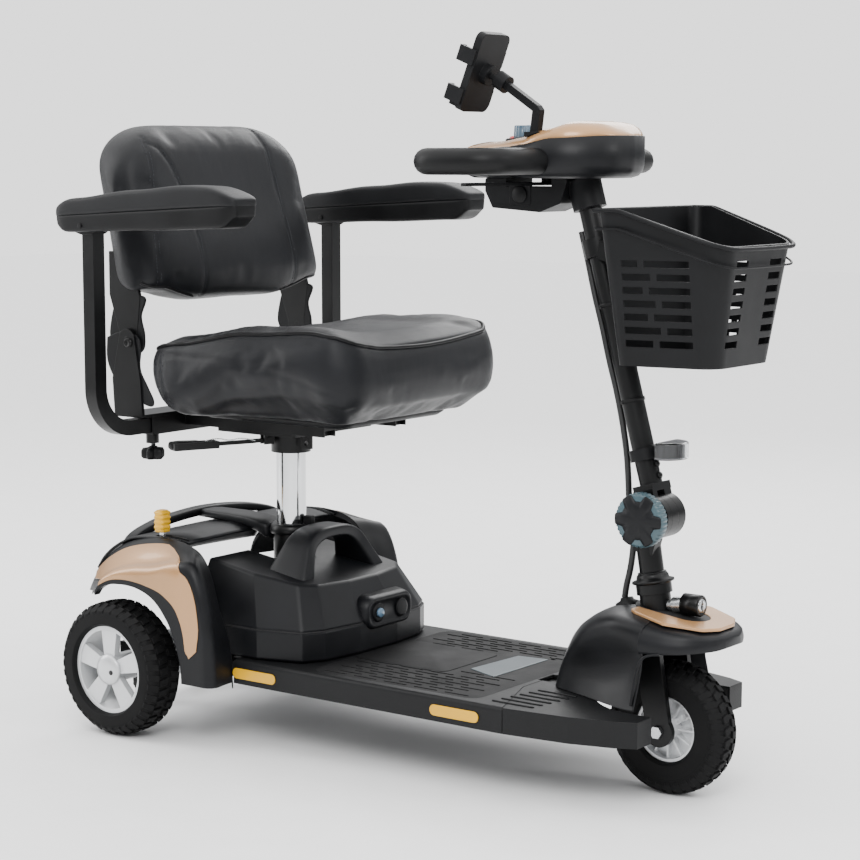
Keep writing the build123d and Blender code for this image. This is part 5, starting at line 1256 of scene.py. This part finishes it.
def battery_ring(z, gap=0.0):
    """Outline of the battery at one height, with the notch that slides past the post."""
    rise = max(0.0, (z - BATTERY_SPLIT) / 102.0) if z is not None else None
    half = ((100, 188, 0, 52), (249, 188, 52, 52), (327, 166, 52, 46), (347, 128, 52, 34), (357, 50, 52, 20))
    outer = []
    for station, y, back, narrow in half:
        if rise is None:
            share = (battery_top(station) - BATTERY_SPLIT) / (102.0 - 0.1338 * back)
            outer.append((station - back * share, y - narrow * share, battery_top(station - back * share)))
        else:
            outer.append((station - back * rise, y - narrow * rise, z))
    outer = [(s - (gap if s > 100 else 0), y - gap, h) for s, y, h in outer]
    notch = [(166 + 38 * math.cos(math.radians(a)), 38 * math.sin(math.radians(a))) for a in range(-90, 91,
                                                                                                   15)]
    notch = [(100, -38)] + notch + [(100, 38)]
    ring = outer + [(s, -y, h) for s, y, h in reversed(outer)]
    ring += [(s, y, battery_top(s) if rise is None else z) for s, y in notch]
    return [at(s, y, h) for s, y, h in ring]


def make_battery():
    bm = bmesh.new()
    add_loft(bm, [battery_ring(147.6, 3), battery_ring(151, 0), battery_ring(196.6, 0)])
    case = bevelled(finish_mesh(bm, "battery_lower_shell", SATIN, "battery", False),
                    0.0045, 4, 22)
    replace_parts(case, "battery_case")
    # near-black band at the back of the groove between lower shell and lid: painted shade in the parting
    # groove
    bm = bmesh.new()
    add_loft(bm, [battery_ring(196.0, 2.0), battery_ring(199.2, 2.0)])
    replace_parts(finish_mesh(bm, "battery_parting_shade", BLACK_AND_SHADE, "battery", False), "battery_case")
    bm = bmesh.new()
    add_loft(bm, [battery_ring(198.4, 0), battery_ring(None, 0)])
    lid = bevelled(finish_mesh(bm, "battery_upper_shell", SATIN, "battery", False),
                   0.0080, 5, 14)
    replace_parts(lid, "battery_lid")
    outer = through(((-121, 254), (-112, 268), (-92, 297), (-70, 330), (-40, 345), (0, 348), (40, 345),
                     (70, 330),
                     (92, 297), (112, 268), (121, 254)), 48)
    inner = through(((-84, 250), (-79, 262), (-68, 288), (-52, 313), (-30, 326), (0, 329), (30, 326),
                     (52, 313),
                     (68, 288), (79, 262), (84, 250)), 48)
    rings = []
    for (y_out, z_out), (y_in, z_in) in zip(outer, inner):
        share = smoothstep(255, 345, z_out)
        half = (46 - 20 * share) * MM
        middle = at(240, (y_out + y_in) / 2, (z_out + z_in) / 2)
        radial = Vector((0, (y_out - y_in) / 2 * MM, (z_out - z_in) / 2 * MM))
        rings.append(rounded_section(middle, Vector((half, 0, 0)), radial, 1.0, 1.0, 0.32, 24))
    bm = bmesh.new()
    add_loft(bm, rings)
    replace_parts(finish_mesh(bm, "battery_handle", SATIN, "battery"), "battery_lid")
    low = box_of("port_flap")[0]
    face = low.x - 0.0004
    centre = at(0, 24, 211)
    bm = bmesh.new()
    rings = []
    for width, height, x, down in ((0.134, 0.062, face - 0.024, 0.001), (0.128, 0.056, face - 0.008, 0.0005),
                                   (0.121, 0.051, face - 0.0015, 0), (0.117, 0.047, face, 0),
                                   (0.108, 0.038, face, 0),
                                   (0.106, 0.036, face - 0.0012, 0)):
        rings.append([Vector((x, centre.y + u, centre.z + v - down)) for u,
                      v in rounded_rectangle(width, height, height * 0.40, 8)])
    add_loft(bm, rings)
    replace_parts(finish_mesh(bm, "port_plate", SATIN, "battery"), "battery_lid")
    socket = Vector((face, centre.y - 0.030, centre.z))
    bm = bmesh.new()
    lathe(bm, [(0.0118, 0.0008), (0.0150, 0.0008), (0.0160, -0.0005), (0.0160, -0.004), (0.0118, -0.004)],
          socket,
          (1, 0, 0), 40)
    finish_mesh(bm, "charge_socket_rim", PLASTIC, "battery")
    # near-black disc on the socket's floor: painted shade inside the socket
    bm = bmesh.new()
    lathe(bm, [(0.0, -0.0010), (0.0120, -0.0010), (0.0120, -0.0003), (0.0002, -0.0002)], socket, (1, 0, 0),
          40)
    finish_mesh(bm, "charge_socket_well_shade", BLACK_AND_SHADE, "battery")
    bm = bmesh.new()
    lathe(bm, [(0.0, 0.0), (0.0080, 0.0), (0.0080, 0.0042), (0.0066, 0.0060), (0.0002, 0.0064)], socket,
          (1, 0, 0), 32)
    finish_mesh(bm, "charge_socket", DIAL, "battery")
    bm = bmesh.new()
    lathe(bm, [(0.0, 0.0), (0.0150, 0.0), (0.0158, 0.0008), (0.0154, 0.0018), (0.0120, 0.0024),
               (0.0002, 0.0026)],
          Vector((low.x, centre.y + 0.030, centre.z)), (1, 0, 0), 40)
    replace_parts(finish_mesh(bm, "port_flap_cap", PLASTIC, "port_flap"), "port_flap")


make_battery()


# ---------------------------------------------------------------- front shroud, its nose and champagne plate
SHROUD_RINGS = (
    (741, ((44, 148), (42, 153), (37, 162), (24, 170), (0, 173))),
    (752, ((52, 148), (47, 168), (43, 186), (28, 202), (0, 207))),
    (772, ((58, 148), (53, 182), (52, 212), (34, 238), (0, 243))),
    (800, ((68, 148), (58, 190), (65, 236), (44, 261), (0, 267))),
    (832, ((80, 148), (66, 196), (76, 254), (54, 277), (0, 283))),
    (866, ((94, 148), (75, 200), (86, 265), (62, 284), (0, 288))),
    (900, ((108, 149), (84, 206), (92, 264), (70, 281), (0, 285))),
    (926, ((117, 151), (95, 214), (94, 261), (76, 277), (0, 281))),
)
NOSE_RINGS = (
    (922, ((96, 234), (98, 240), (96, 258), (78, 276), (0, 280))),
    (958, ((93, 236), (95, 242), (92, 256), (76, 271), (0, 275))),
    (990, ((80, 238), (82, 244), (79, 255), (66, 267), (0, 271))),
    (1012, ((60, 240), (62, 246), (60, 254), (50, 263), (0, 267))),
    (1024, ((40, 241), (42, 247), (40, 253), (33, 260), (0, 263))),
    (1030, ((20, 243), (21, 247), (20, 251), (16, 256), (0, 258))),
)


def shroud_rows(rings, lengthwise, crosswise=28):
    """Smooth rows of points through the rings, from one foot over the crown to the other."""
    columns = []
    for index in range(len(rings[0][1])):
        columns.append(through([(station, *half[index]) for station, half in rings], lengthwise))
    rows = []
    for step in range(lengthwise + 1):
        half = [column[step] for column in columns]
        line = through([(y, z) for _, y, z in half] + [(-y, z) for _, y, z in reversed(half[:-1])], crosswise)
        rows.append([at(half[0][0], y, z) for y, z in line])
    return rows


def make_front_shroud():
    for name, rings, lengthwise in (("front_shroud_body", SHROUD_RINGS, 28),
                                    ("front_shroud_nose", NOSE_RINGS, 20)):
        bm = bmesh.new()
        rows = shroud_rows(rings, lengthwise)
        verts = grid_mesh(bm, rows)
        bm.faces.new(verts[0] if name.endswith("body") else verts[-1])
        piece = finish_mesh(bm, name, SATIN, "chassis")
        modifier(piece, "SOLIDIFY", thickness=0.003, offset=-1)
        bevelled(piece, 0.0012, 2, 60)
        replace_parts(piece, "front_shroud")
    for sign in SIDES.values():
        edge = [at(station, sign * y, z) for station, y, z in
                ((958, 93.5, 236.5), (940, 95, 234.5), (927, 97, 226), (922, 101, 206), (921, 108, 180),
                 (921, 114, 158))]
        tube(f"shroud_edge_{'left' if sign > 0 else 'right'}", edge, 0.0022, SATIN, "chassis")


def shroud_plate_z(station):
    return (288.6 - (station - 881) * math.tan(math.radians(7.4))) * MM


def make_shroud_plate():
    """U-shaped champagne plate round the well that the steering head stands in, with a flat near-black sheet
    across the well's opening as painted shade.
    """
    corners = [(0, 50), (10, 57), (70, 74), (124, 50), (138, 22), (138, -22), (124, -50), (70, -74),
               (10, -57), (0, -50)]
    outline = [(881 + u - 925, v) for u, v in corners]

    def reach(angle):
        ray = (math.cos(angle), math.sin(angle))
        best = 0.0
        for (x1, y1), (x2, y2) in zip(outline, outline[1:] + outline[:1]):
            cross = ray[0] * (y2 - y1) - ray[1] * (x2 - x1)
            if abs(cross) > 1e-9:
                distance = (x1 * (y2 - y1) - y1 * (x2 - x1)) / cross
                share = (x1 * ray[1] - y1 * ray[0]) / cross
                if distance > 0 and -1e-6 <= share <= 1 + 1e-6:
                    best = max(best, distance)
        return best

    def well(angle):
        half, radius = 31.0, 30.0
        x, y = math.cos(angle), abs(math.sin(angle))
        if y * half > abs(x) * radius:
            return radius / y
        return abs(x) * half + math.sqrt(max(0.0, radius ** 2 - (y * half) ** 2))

    steps = 96
    rows = []
    for i in range(steps + 1):
        angle = -0.80 * math.pi + 1.6 * math.pi * i / steps
        outer, inner = reach(angle), well(angle)
        if outer - inner < 5:
            continue
        row = []
        for radius, lift in ((outer, -3.0), (outer, 0.6), (outer - 1.2, 1.4), (inner + 1.0, 1.4),
                             (inner, 0.6), (inner, -3.0)):
            station, y = 925 + radius * math.cos(angle), radius * math.sin(angle)
            row.append(at(station, y, shroud_plate_z(station) / MM + lift))
        rows.append(row)
    bm = bmesh.new()
    verts = grid_mesh(bm, rows)
    for row in (verts[0], verts[-1]):
        bm.faces.new(row)
    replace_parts(finish_mesh(bm, "shroud_plate", CHAMPAGNE, "chassis", False), "trim_panels")
    # flat near-black sheet across the well's opening: painted shade in the well
    bm = bmesh.new()
    ring = []
    for i in range(64):
        angle = 2 * math.pi * i / 64
        station, y = 925 + well(angle) * math.cos(angle), well(angle) * math.sin(angle)
        ring.append(at(station, y, shroud_plate_z(station) / MM + 0.2))
    add_loft(bm, [[point - Vector((0, 0, 0.002)) for point in ring], ring])
    finish_mesh(bm, "shroud_well_shade", BLACK_AND_SHADE, "chassis", False)
    bm = bmesh.new()
    lathe(bm, [(0.0, -0.006), (0.0195, -0.006), (0.0185, 0.0), (0.0110, 0.0035), (0.0095, 0.0075),
               (0.0002, 0.0078)],
          at(844, 0, 287), (-0.20, 0, 1), 32)
    finish_mesh(bm, "cable_grommet", GRIP, "chassis")


make_front_shroud()
make_shroud_plate()

# ---------------------------------------------------------------- console, handlebar loop and its controls
CONSOLE_PLAN = ((566, 50), (600, 68), (660, 86), (728, 106), (775, 102), (812, 80), (838, 44), (846, 0))
CONSOLE_PARTING = ((560, 0.9775), (700, 0.984), (770, 0.996), (846, 1.000))
COVER_CREST = ((566, 0.988), (640, 0.993), (700, 1.000), (745, 1.012), (785, 1.0225), (815, 1.0215),
               (846, 1.006))


def console_ring(inset):
    """Teardrop plan of the console, drawn in by inset millimetres."""
    half = through(CONSOLE_PLAN, 30)
    middle = 700.0
    points = []
    for station, y in half + [(station, -y) for station, y in reversed(half[1:-1])]:
        reach = math.hypot(station - middle, y)
        shrink = max(0.0, 1 - inset / max(reach, 1.0))
        points.append((middle + (station - middle) * shrink, y * shrink))
    points.append((half[0][0] + inset, -half[0][1] * 0.98))
    return points


def make_console():
    bm = bmesh.new()
    rings = []
    for inset, z in ((34, 936.0), (20, 936.6), (9, 940), (3, 947), (0.5, 956), (0, 966), (0, None),
                     (1.5, None)):
        ring = []
        for station, y in console_ring(inset):
            parting = graph(CONSOLE_PARTING, station) / MM
            ring.append(at(station, y, (parting + (0.0 if inset < 1 else 0.6)) if z is None else z))
        rings.append(ring)
    add_loft(bm, rings)
    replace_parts(finish_mesh(bm, "console_shell", SATIN, "tiller"), "console_body")
    bm = bmesh.new()
    rings = []
    for inset, share in ((3.2, -0.25), (3.0, 0.10), (4.5, 0.34), (9, 0.60), (18, 0.82), (32, 0.95),
                         (52, 1.0)):
        ring = []
        for station, y in console_ring(inset):
            parting, crest = graph(CONSOLE_PARTING, station), graph(COVER_CREST, station)
            ring.append(at(station, y, (parting + (crest - parting) * share) / MM))
        rings.append(ring)
    add_loft(bm, rings)
    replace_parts(finish_mesh(bm, "console_champagne_cover", CHAMPAGNE, "tiller"),
                "console_cover")
    loop = ((606, 150), (608, 196), (620, 220), (640, 229), (676, 228), (712, 224), (736, 208), (742, 180),
            (742, 100))
    points = [at(s, y, 962) for s, y in loop]
    points += [at(s, -y, 962) for s, y in reversed(loop)]
    for station, y in ((608, -80), (610, 0), (608, 80)):
        points.append(at(station, y, 962))
    grip = tube("handlebar_loop", points, 0.0200, GRIP, "tiller", True, 6)
    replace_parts(grip, "handlebar_grip")


def make_horn_and_dial():
    low, high = box_of("horn_button")
    centre = (low + high) / 2
    bm = bmesh.new()
    lathe(bm, [(0.0, -0.016), (0.0098, -0.016), (0.0100, -0.0045), (0.0085, -0.0020), (0.0045, -0.0004),
               (0.0002, 0.0)],
          Vector((centre.x, centre.y, high.z)), (0, 0, 1), 32)
    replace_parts(finish_mesh(bm, "horn_dome", RED, "horn_button"), "horn_button")
    bm = bmesh.new()
    lathe(bm, [(0.0112, -0.012), (0.0160, -0.012), (0.0155, -0.0065), (0.0130, -0.0045), (0.0112, -0.0048)],
          Vector((centre.x, centre.y, high.z)), (0, 0, 1), 32)
    finish_mesh(bm, "horn_bezel", PLASTIC, "tiller")
    low, high = box_of("speed_dial")
    centre = (low + high) / 2
    bm = bmesh.new()
    rings = []
    for radius, along in ((0.012, -0.020), (0.0168, -0.020), (0.0172, -0.016), (0.0160, -0.0010),
                          (0.0150, 0.0),
                          (0.0100, 0.0), (0.0095, -0.0006)):
        ring = []
        for i in range(96):
            ridge = 0.0004 * (1 if i % 4 < 2 else -1) if 0.0155 < radius < 0.0170 else 0.0
            angle = 2 * math.pi * i / 96
            ring.append(Vector((centre.x + (radius + ridge) * math.cos(angle),
                                centre.y + (radius + ridge) * math.sin(angle), high.z + along)))
        rings.append(ring)
    add_loft(bm, rings)
    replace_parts(finish_mesh(bm, "speed_dial_knob", DIAL, "speed_dial"), "speed_dial")
    bm = bmesh.new()
    add_box(bm, (0.004, -0.0010, -0.0002), (0.0135, 0.0010, 0.0005),
            Matrix.Translation(Vector((centre.x, centre.y, high.z))))
    finish_mesh(bm, "speed_dial_mark", RIM, "speed_dial", False)


def make_console_port():
    """Round rubber cover over the socket in the box under the console."""
    low = box_of("console_port_box")[0]
    bm = bmesh.new()
    centre = Vector((AXLE_X + 0.664, low.y, 0.911))
    outline = rounded_rectangle(0.040, 0.034, 0.006, 5)
    extrude_outline(bm, outline, 0.0012, lambda u, v, w: Vector((centre.x + u, centre.y - w + 0.0004,
                                                                 centre.z + v)))
    bevelled(finish_mesh(bm, "console_port_frame", PLASTIC, "tiller", False), 0.0006, 2)
    bm = bmesh.new()
    lathe(bm, [(0.0, 0.0), (0.0135, 0.0), (0.0135, 0.0026), (0.0120, 0.0036), (0.0002, 0.0040)], centre,
          (0, -1, 0), 36)
    finish_mesh(bm, "console_port_cover", GRIP, "tiller")


make_console()
make_horn_and_dial()
make_console_port()


# ---------------------------------------------------------------- fold knob, hinge, lock barrel, head flange and cable ties
def make_fold_knob():
    """Serrated teal rim with a black six-pointed face on the tiller's hinge."""
    low, high = box_of("fold_knob")
    centre = Vector(((low.x + high.x) / 2, low.y, (low.z + high.z) / 2))
    radius = (high.x - low.x) / 2
    bm = bmesh.new()
    rings = []
    for share, depth in ((0.55, 0.0225), (0.93, 0.0220), (1.0, 0.0170), (1.0, 0.0060), (0.95, 0.0020),
                         (0.86, 0.0008),
                         (0.60, 0.0010)):
        ring = []
        for i in range(180):
            angle = 2 * math.pi * i / 180
            notch = 0.0016 * max(0.0, math.cos(angle * 36)) if share > 0.9 else 0.0
            reach = radius * share - notch
            ring.append(centre + Vector((reach * math.cos(angle), depth, reach * math.sin(angle))))
        rings.append(ring)
    add_loft(bm, rings)
    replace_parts(finish_mesh(bm, "fold_knob_rim", TEAL, "fold_knob"), "fold_knob")
    bm = bmesh.new()
    rings = []
    for swell, depth in ((0.98, 0.0012), (1.0, -0.0002), (0.97, -0.0012), (0.5, -0.0022), (0.04, -0.0025)):
        ring = []
        for i in range(144):
            angle = 2 * math.pi * i / 144
            lobe = 0.5 + 0.5 * math.cos(6 * angle)
            reach = radius * (0.70 + 0.27 * smoothstep(0.15, 0.75, lobe)) * swell
            ring.append(centre + Vector((reach * math.cos(angle), depth + 0.0006, reach * math.sin(angle))))
        rings.append(ring)
    add_loft(bm, rings)
    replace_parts(finish_mesh(bm, "fold_knob_face", SATIN, "fold_knob"), "fold_knob")
    bm = bmesh.new()
    lathe(bm, [(0.0, 0.0), (0.019, 0.0), (0.019, 0.010), (0.0, 0.010)], centre + Vector((0, 0.022, 0)),
          (0, 1, 0), 32)
    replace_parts(finish_mesh(bm, "fold_knob_boss", COATED, "fold_knob"), "fold_knob")
    bm = bmesh.new()
    lathe(bm, [(0.0, -0.006), (0.0085, -0.006), (0.0085, 0.0), (0.0060, 0.0012), (0.0002, 0.0014)],
          Vector((centre.x, high.y, centre.z)), (0, 1, 0), 24)
    finish_mesh(bm, "fold_screw_end", STEEL, "fold_knob")


def make_lock_face():
    low, high = box_of("steering_lock")
    centre = Vector((high.x, (low.y + high.y) / 2, (low.z + high.z) / 2))
    radius = (high.z - low.z) / 2
    bm = bmesh.new()
    lathe(bm, [(radius * 0.99, -0.030), (radius * 1.04, -0.030), (radius * 1.04, -0.0016),
               (radius * 0.96, 0.0002),
               (radius * 0.72, 0.0002), (radius * 0.72, -0.0010)], centre, (1, 0, 0), 40)
    finish_mesh(bm, "lock_barrel_sleeve", COATED, "steering")
    bm = bmesh.new()
    lathe(bm, [(0.0, -0.0004), (radius * 0.70, -0.0004), (radius * 0.68, 0.0006), (radius * 0.22, 0.0008),
               (radius * 0.20, -0.0002), (0.0002, -0.0002)], centre, (1, 0, 0), 36)
    finish_mesh(bm, "lock_barrel_face", STEEL, "steering")
    # near-black strip on the barrel's face: painted shade in the keyway
    bm = bmesh.new()
    add_box(bm, (-0.0002, -0.0012, -radius * 0.5), (0.0010, 0.0012, radius * 0.5), Matrix.Translation(centre))
    finish_mesh(bm, "lock_keyway_shade", BLACK_AND_SHADE, "steering", False)


def make_tiller_trim():
    """Flange rings round the steering head and the screws on both tubes."""
    lean = math.radians(9.6)
    axis = Vector((-math.sin(lean), 0, math.cos(lean)))
    foot = at(927, 0, 104)
    bm = bmesh.new()
    lathe(bm, [(0.0190, -0.008), (0.0250, -0.006), (0.0270, -0.001), (0.0320, 0.001), (0.0330, 0.003),
               (0.0320, 0.005),
               (0.0255, 0.007), (0.0245, 0.012), (0.0215, 0.016), (0.0190, 0.018)], foot + axis * 0.222,
               axis, 48)
    finish_mesh(bm, "head_flange", COATED, "steering")
    tiller_lean = math.radians(15.4)
    along = Vector((-math.sin(tiller_lean), 0, math.cos(tiller_lean)))
    out = Vector((math.cos(tiller_lean), 0, math.sin(tiller_lean)))
    pivot = at(897, 0, 427)
    bm = bmesh.new()
    for distance in (0.060, 0.078):
        lathe(bm, [(0.0, 0.0), (0.0055, 0.0), (0.0055, 0.0030), (0.0035, 0.0050), (0.0002, 0.0052)],
              pivot + along * distance + out * 0.0165, out, 18)
    finish_mesh(bm, "tiller_screws", COATED, "tiller")
    for distance in (0.330, 0.180):
        bm = bmesh.new()
        lathe(bm, [(0.0178, -0.003), (0.0190, -0.003), (0.0190, 0.003), (0.0178, 0.003)],
              pivot + along * distance, along, 36)
        finish_mesh(bm, f"cable_tie_{round(distance * 1000)}", GRIP, "tiller")


make_fold_knob()
make_lock_face()
make_tiller_trim()


# ---------------------------------------------------------------- basket rim and its band bead
def basket_rim_point(share, z_shift=0.0, grow=0.0):
    """Point on the basket's rim, going round from the rear corner on the left to the one on the right."""
    corners = [(869, 143), (906, 139), (960, 133), (1020, 124), (1050, 113), (1068, 92), (1072, 60),
               (1073, 0)]
    path = [(866, 0), (867, 90), (868, 128)] + corners
    half = through(path, 40)
    index = share * 80
    mirrored = index > 40
    place = 80 - index if mirrored else index
    low = min(39, int(place))
    part = place - low
    station = half[low][0] + (half[low + 1][0] - half[low][0]) * part
    y = half[low][1] + (half[low + 1][1] - half[low][1]) * part
    z = 893 if station < 906 else 893 - 55 * (station - 906) / (1074 - 906)
    return at(station + grow * (station - 960) / 110, (-y if mirrored else y) * (1 + grow / 140), z + z_shift)


def make_basket_rim():
    points = [basket_rim_point(i / 80, -1.5, 0.5) for i in range(80)]
    tube("basket_rim", points, 0.0033, PLASTIC, "basket", True, 3)
    band = [basket_rim_point(i / 80, -28, -1.5) for i in range(80)]
    tube("basket_band_bead", band, 0.0018, PLASTIC, "basket", True, 2)


make_basket_rim()


# ---------------------------------------------------------------- seat pan, hinge covers, knobs and lever
def make_seat_pan():
    """Shallow pressed pan, set in from the cushion's skirt."""
    bm = bmesh.new()
    rings = []
    for grow, z in ((-26, 533), (-8, 535), (0, 541), (0, 547.5), (-3, 548)):
        rings.append([at(240 + u / MM, v / MM, z) for u, v in
                      rounded_rectangle((318 + 2 * grow) * MM, (296 + 2 * grow) * MM,
                                        0.034 + grow * 0.4 * MM, 8)])
    add_loft(bm, rings)
    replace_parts(finish_mesh(bm, "seat_pan_shell", PLASTIC, "seat"), "seat_pan")


def make_hinge_covers():
    """Curved plates over the backrest hinge, with the bolt that the backrest folds on."""
    upper = ((-30, 738), (-42, 700), (-46, 670), (-34, 655), (6, 640), (30, 650), (33, 676), (26, 705),
             (34, 738))
    lower = ((-48, 668), (-49, 632), (-36, 604), (-16, 583), (16, 566), (50, 556), (58, 566), (44, 590),
             (28, 618),
             (30, 652), (22, 672), (-10, 680))
    for side, sign in SIDES.items():
        for name, outline, y, depth, body in (("back_hinge_cover", upper, 213.2, 5.2, "backrest"),
                                              ("seat_hinge_cover", lower, 220.2, 3.0, "seat")):
            smooth = through(list(outline) + [outline[0]], 60)[:-1]
            bm = bmesh.new()
            add_loft(bm, [[at(s, sign * (y + w), z) for s, z in smooth] for w in (0, depth)])
            bevelled(finish_mesh(bm, f"{name}_{side}", PLASTIC, body, False), 0.0016, 3, 40)
        bm = bmesh.new()
        lathe(bm, [(0.0, 0.0), (0.0105, 0.0), (0.0105, 0.0016), (0.0075, 0.0016), (0.0075, 0.0052),
                   (0.0050, 0.0062),
                   (0.0048, 0.0040), (0.0002, 0.0040)], at(4, sign * 223.2, 661), (0, sign, 0), 6 * 5)
        finish_mesh(bm, f"hinge_bolt_{side}", COATED, "seat")


def make_clamp_knob(side):
    """Five-lobed clamp knob with a soft edge on its zinc stud."""
    node = f"armrest_knob_{side}"
    low, high = box_of(node)
    centre = (low + high) / 2
    bm = bmesh.new()
    rings = []
    for swell, z in ((0.5, 0.0), (0.86, 0.001), (1.0, 0.005), (1.0, 0.014), (0.86, 0.019), (0.42, 0.0205),
                     (0.30, 0.0225)):
        ring = []
        for i in range(100):
            angle = 2 * math.pi * i / 100
            reach = (0.0168 + 0.0042 * math.cos(5 * angle)) * swell
            ring.append(Vector((centre.x + reach * math.cos(angle), centre.y + reach * math.sin(angle),
                                low.z + z)))
        rings.append(ring)
    add_loft(bm, rings)
    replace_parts(finish_mesh(bm, f"clamp_knob_{side}", PLASTIC, node), node)
    bm = bmesh.new()
    lathe(bm, [(0.0, 0.0), (0.0040, 0.0), (0.0040, high.z - low.z - 0.0205), (0.0, high.z - low.z - 0.0205)],
          Vector((centre.x, centre.y, low.z + 0.0205)), (0, 0, 1), 20)
    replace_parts(finish_mesh(bm, f"clamp_stud_{side}", STEEL, node), node)


def make_lever_paddle():
    """Soft grip on the end of the swivel lever and the wire spring along it."""
    start, finish = at(78, -207, 491), at(101, -150, 491)
    along = (finish - start).normalized()
    across = along.cross(Vector((0, 0, 1))).normalized()
    rings = []
    for share, half, tall in ((0.0, 0.007, 0.004), (0.05, 0.0105, 0.0070), (0.3, 0.0110, 0.0078),
                              (0.8, 0.0090, 0.0066),
                              (1.0, 0.0065, 0.0045)):
        rings.append(rounded_section(start.lerp(finish, share), across, Vector((0, 0, 1)), half, tall, 0.5))
    bm = bmesh.new()
    add_loft(bm, rings)
    finish_mesh(bm, "swivel_lever_grip", GRIP, "swivel_lever")
    spring = []
    for k in range(5):
        wave = 0.006 + (0.004 if k % 2 else -0.002)
        spring.append(finish + Vector((0.010 * k, 0.0, wave)) + along * 0.016 * k)
    tube("swivel_spring", spring, 0.0009, STEEL, "swivel_lever", False, 2)


make_seat_pan()
make_hinge_covers()
for side_name in SIDES:
    make_clamp_knob(side_name)
make_lever_paddle()
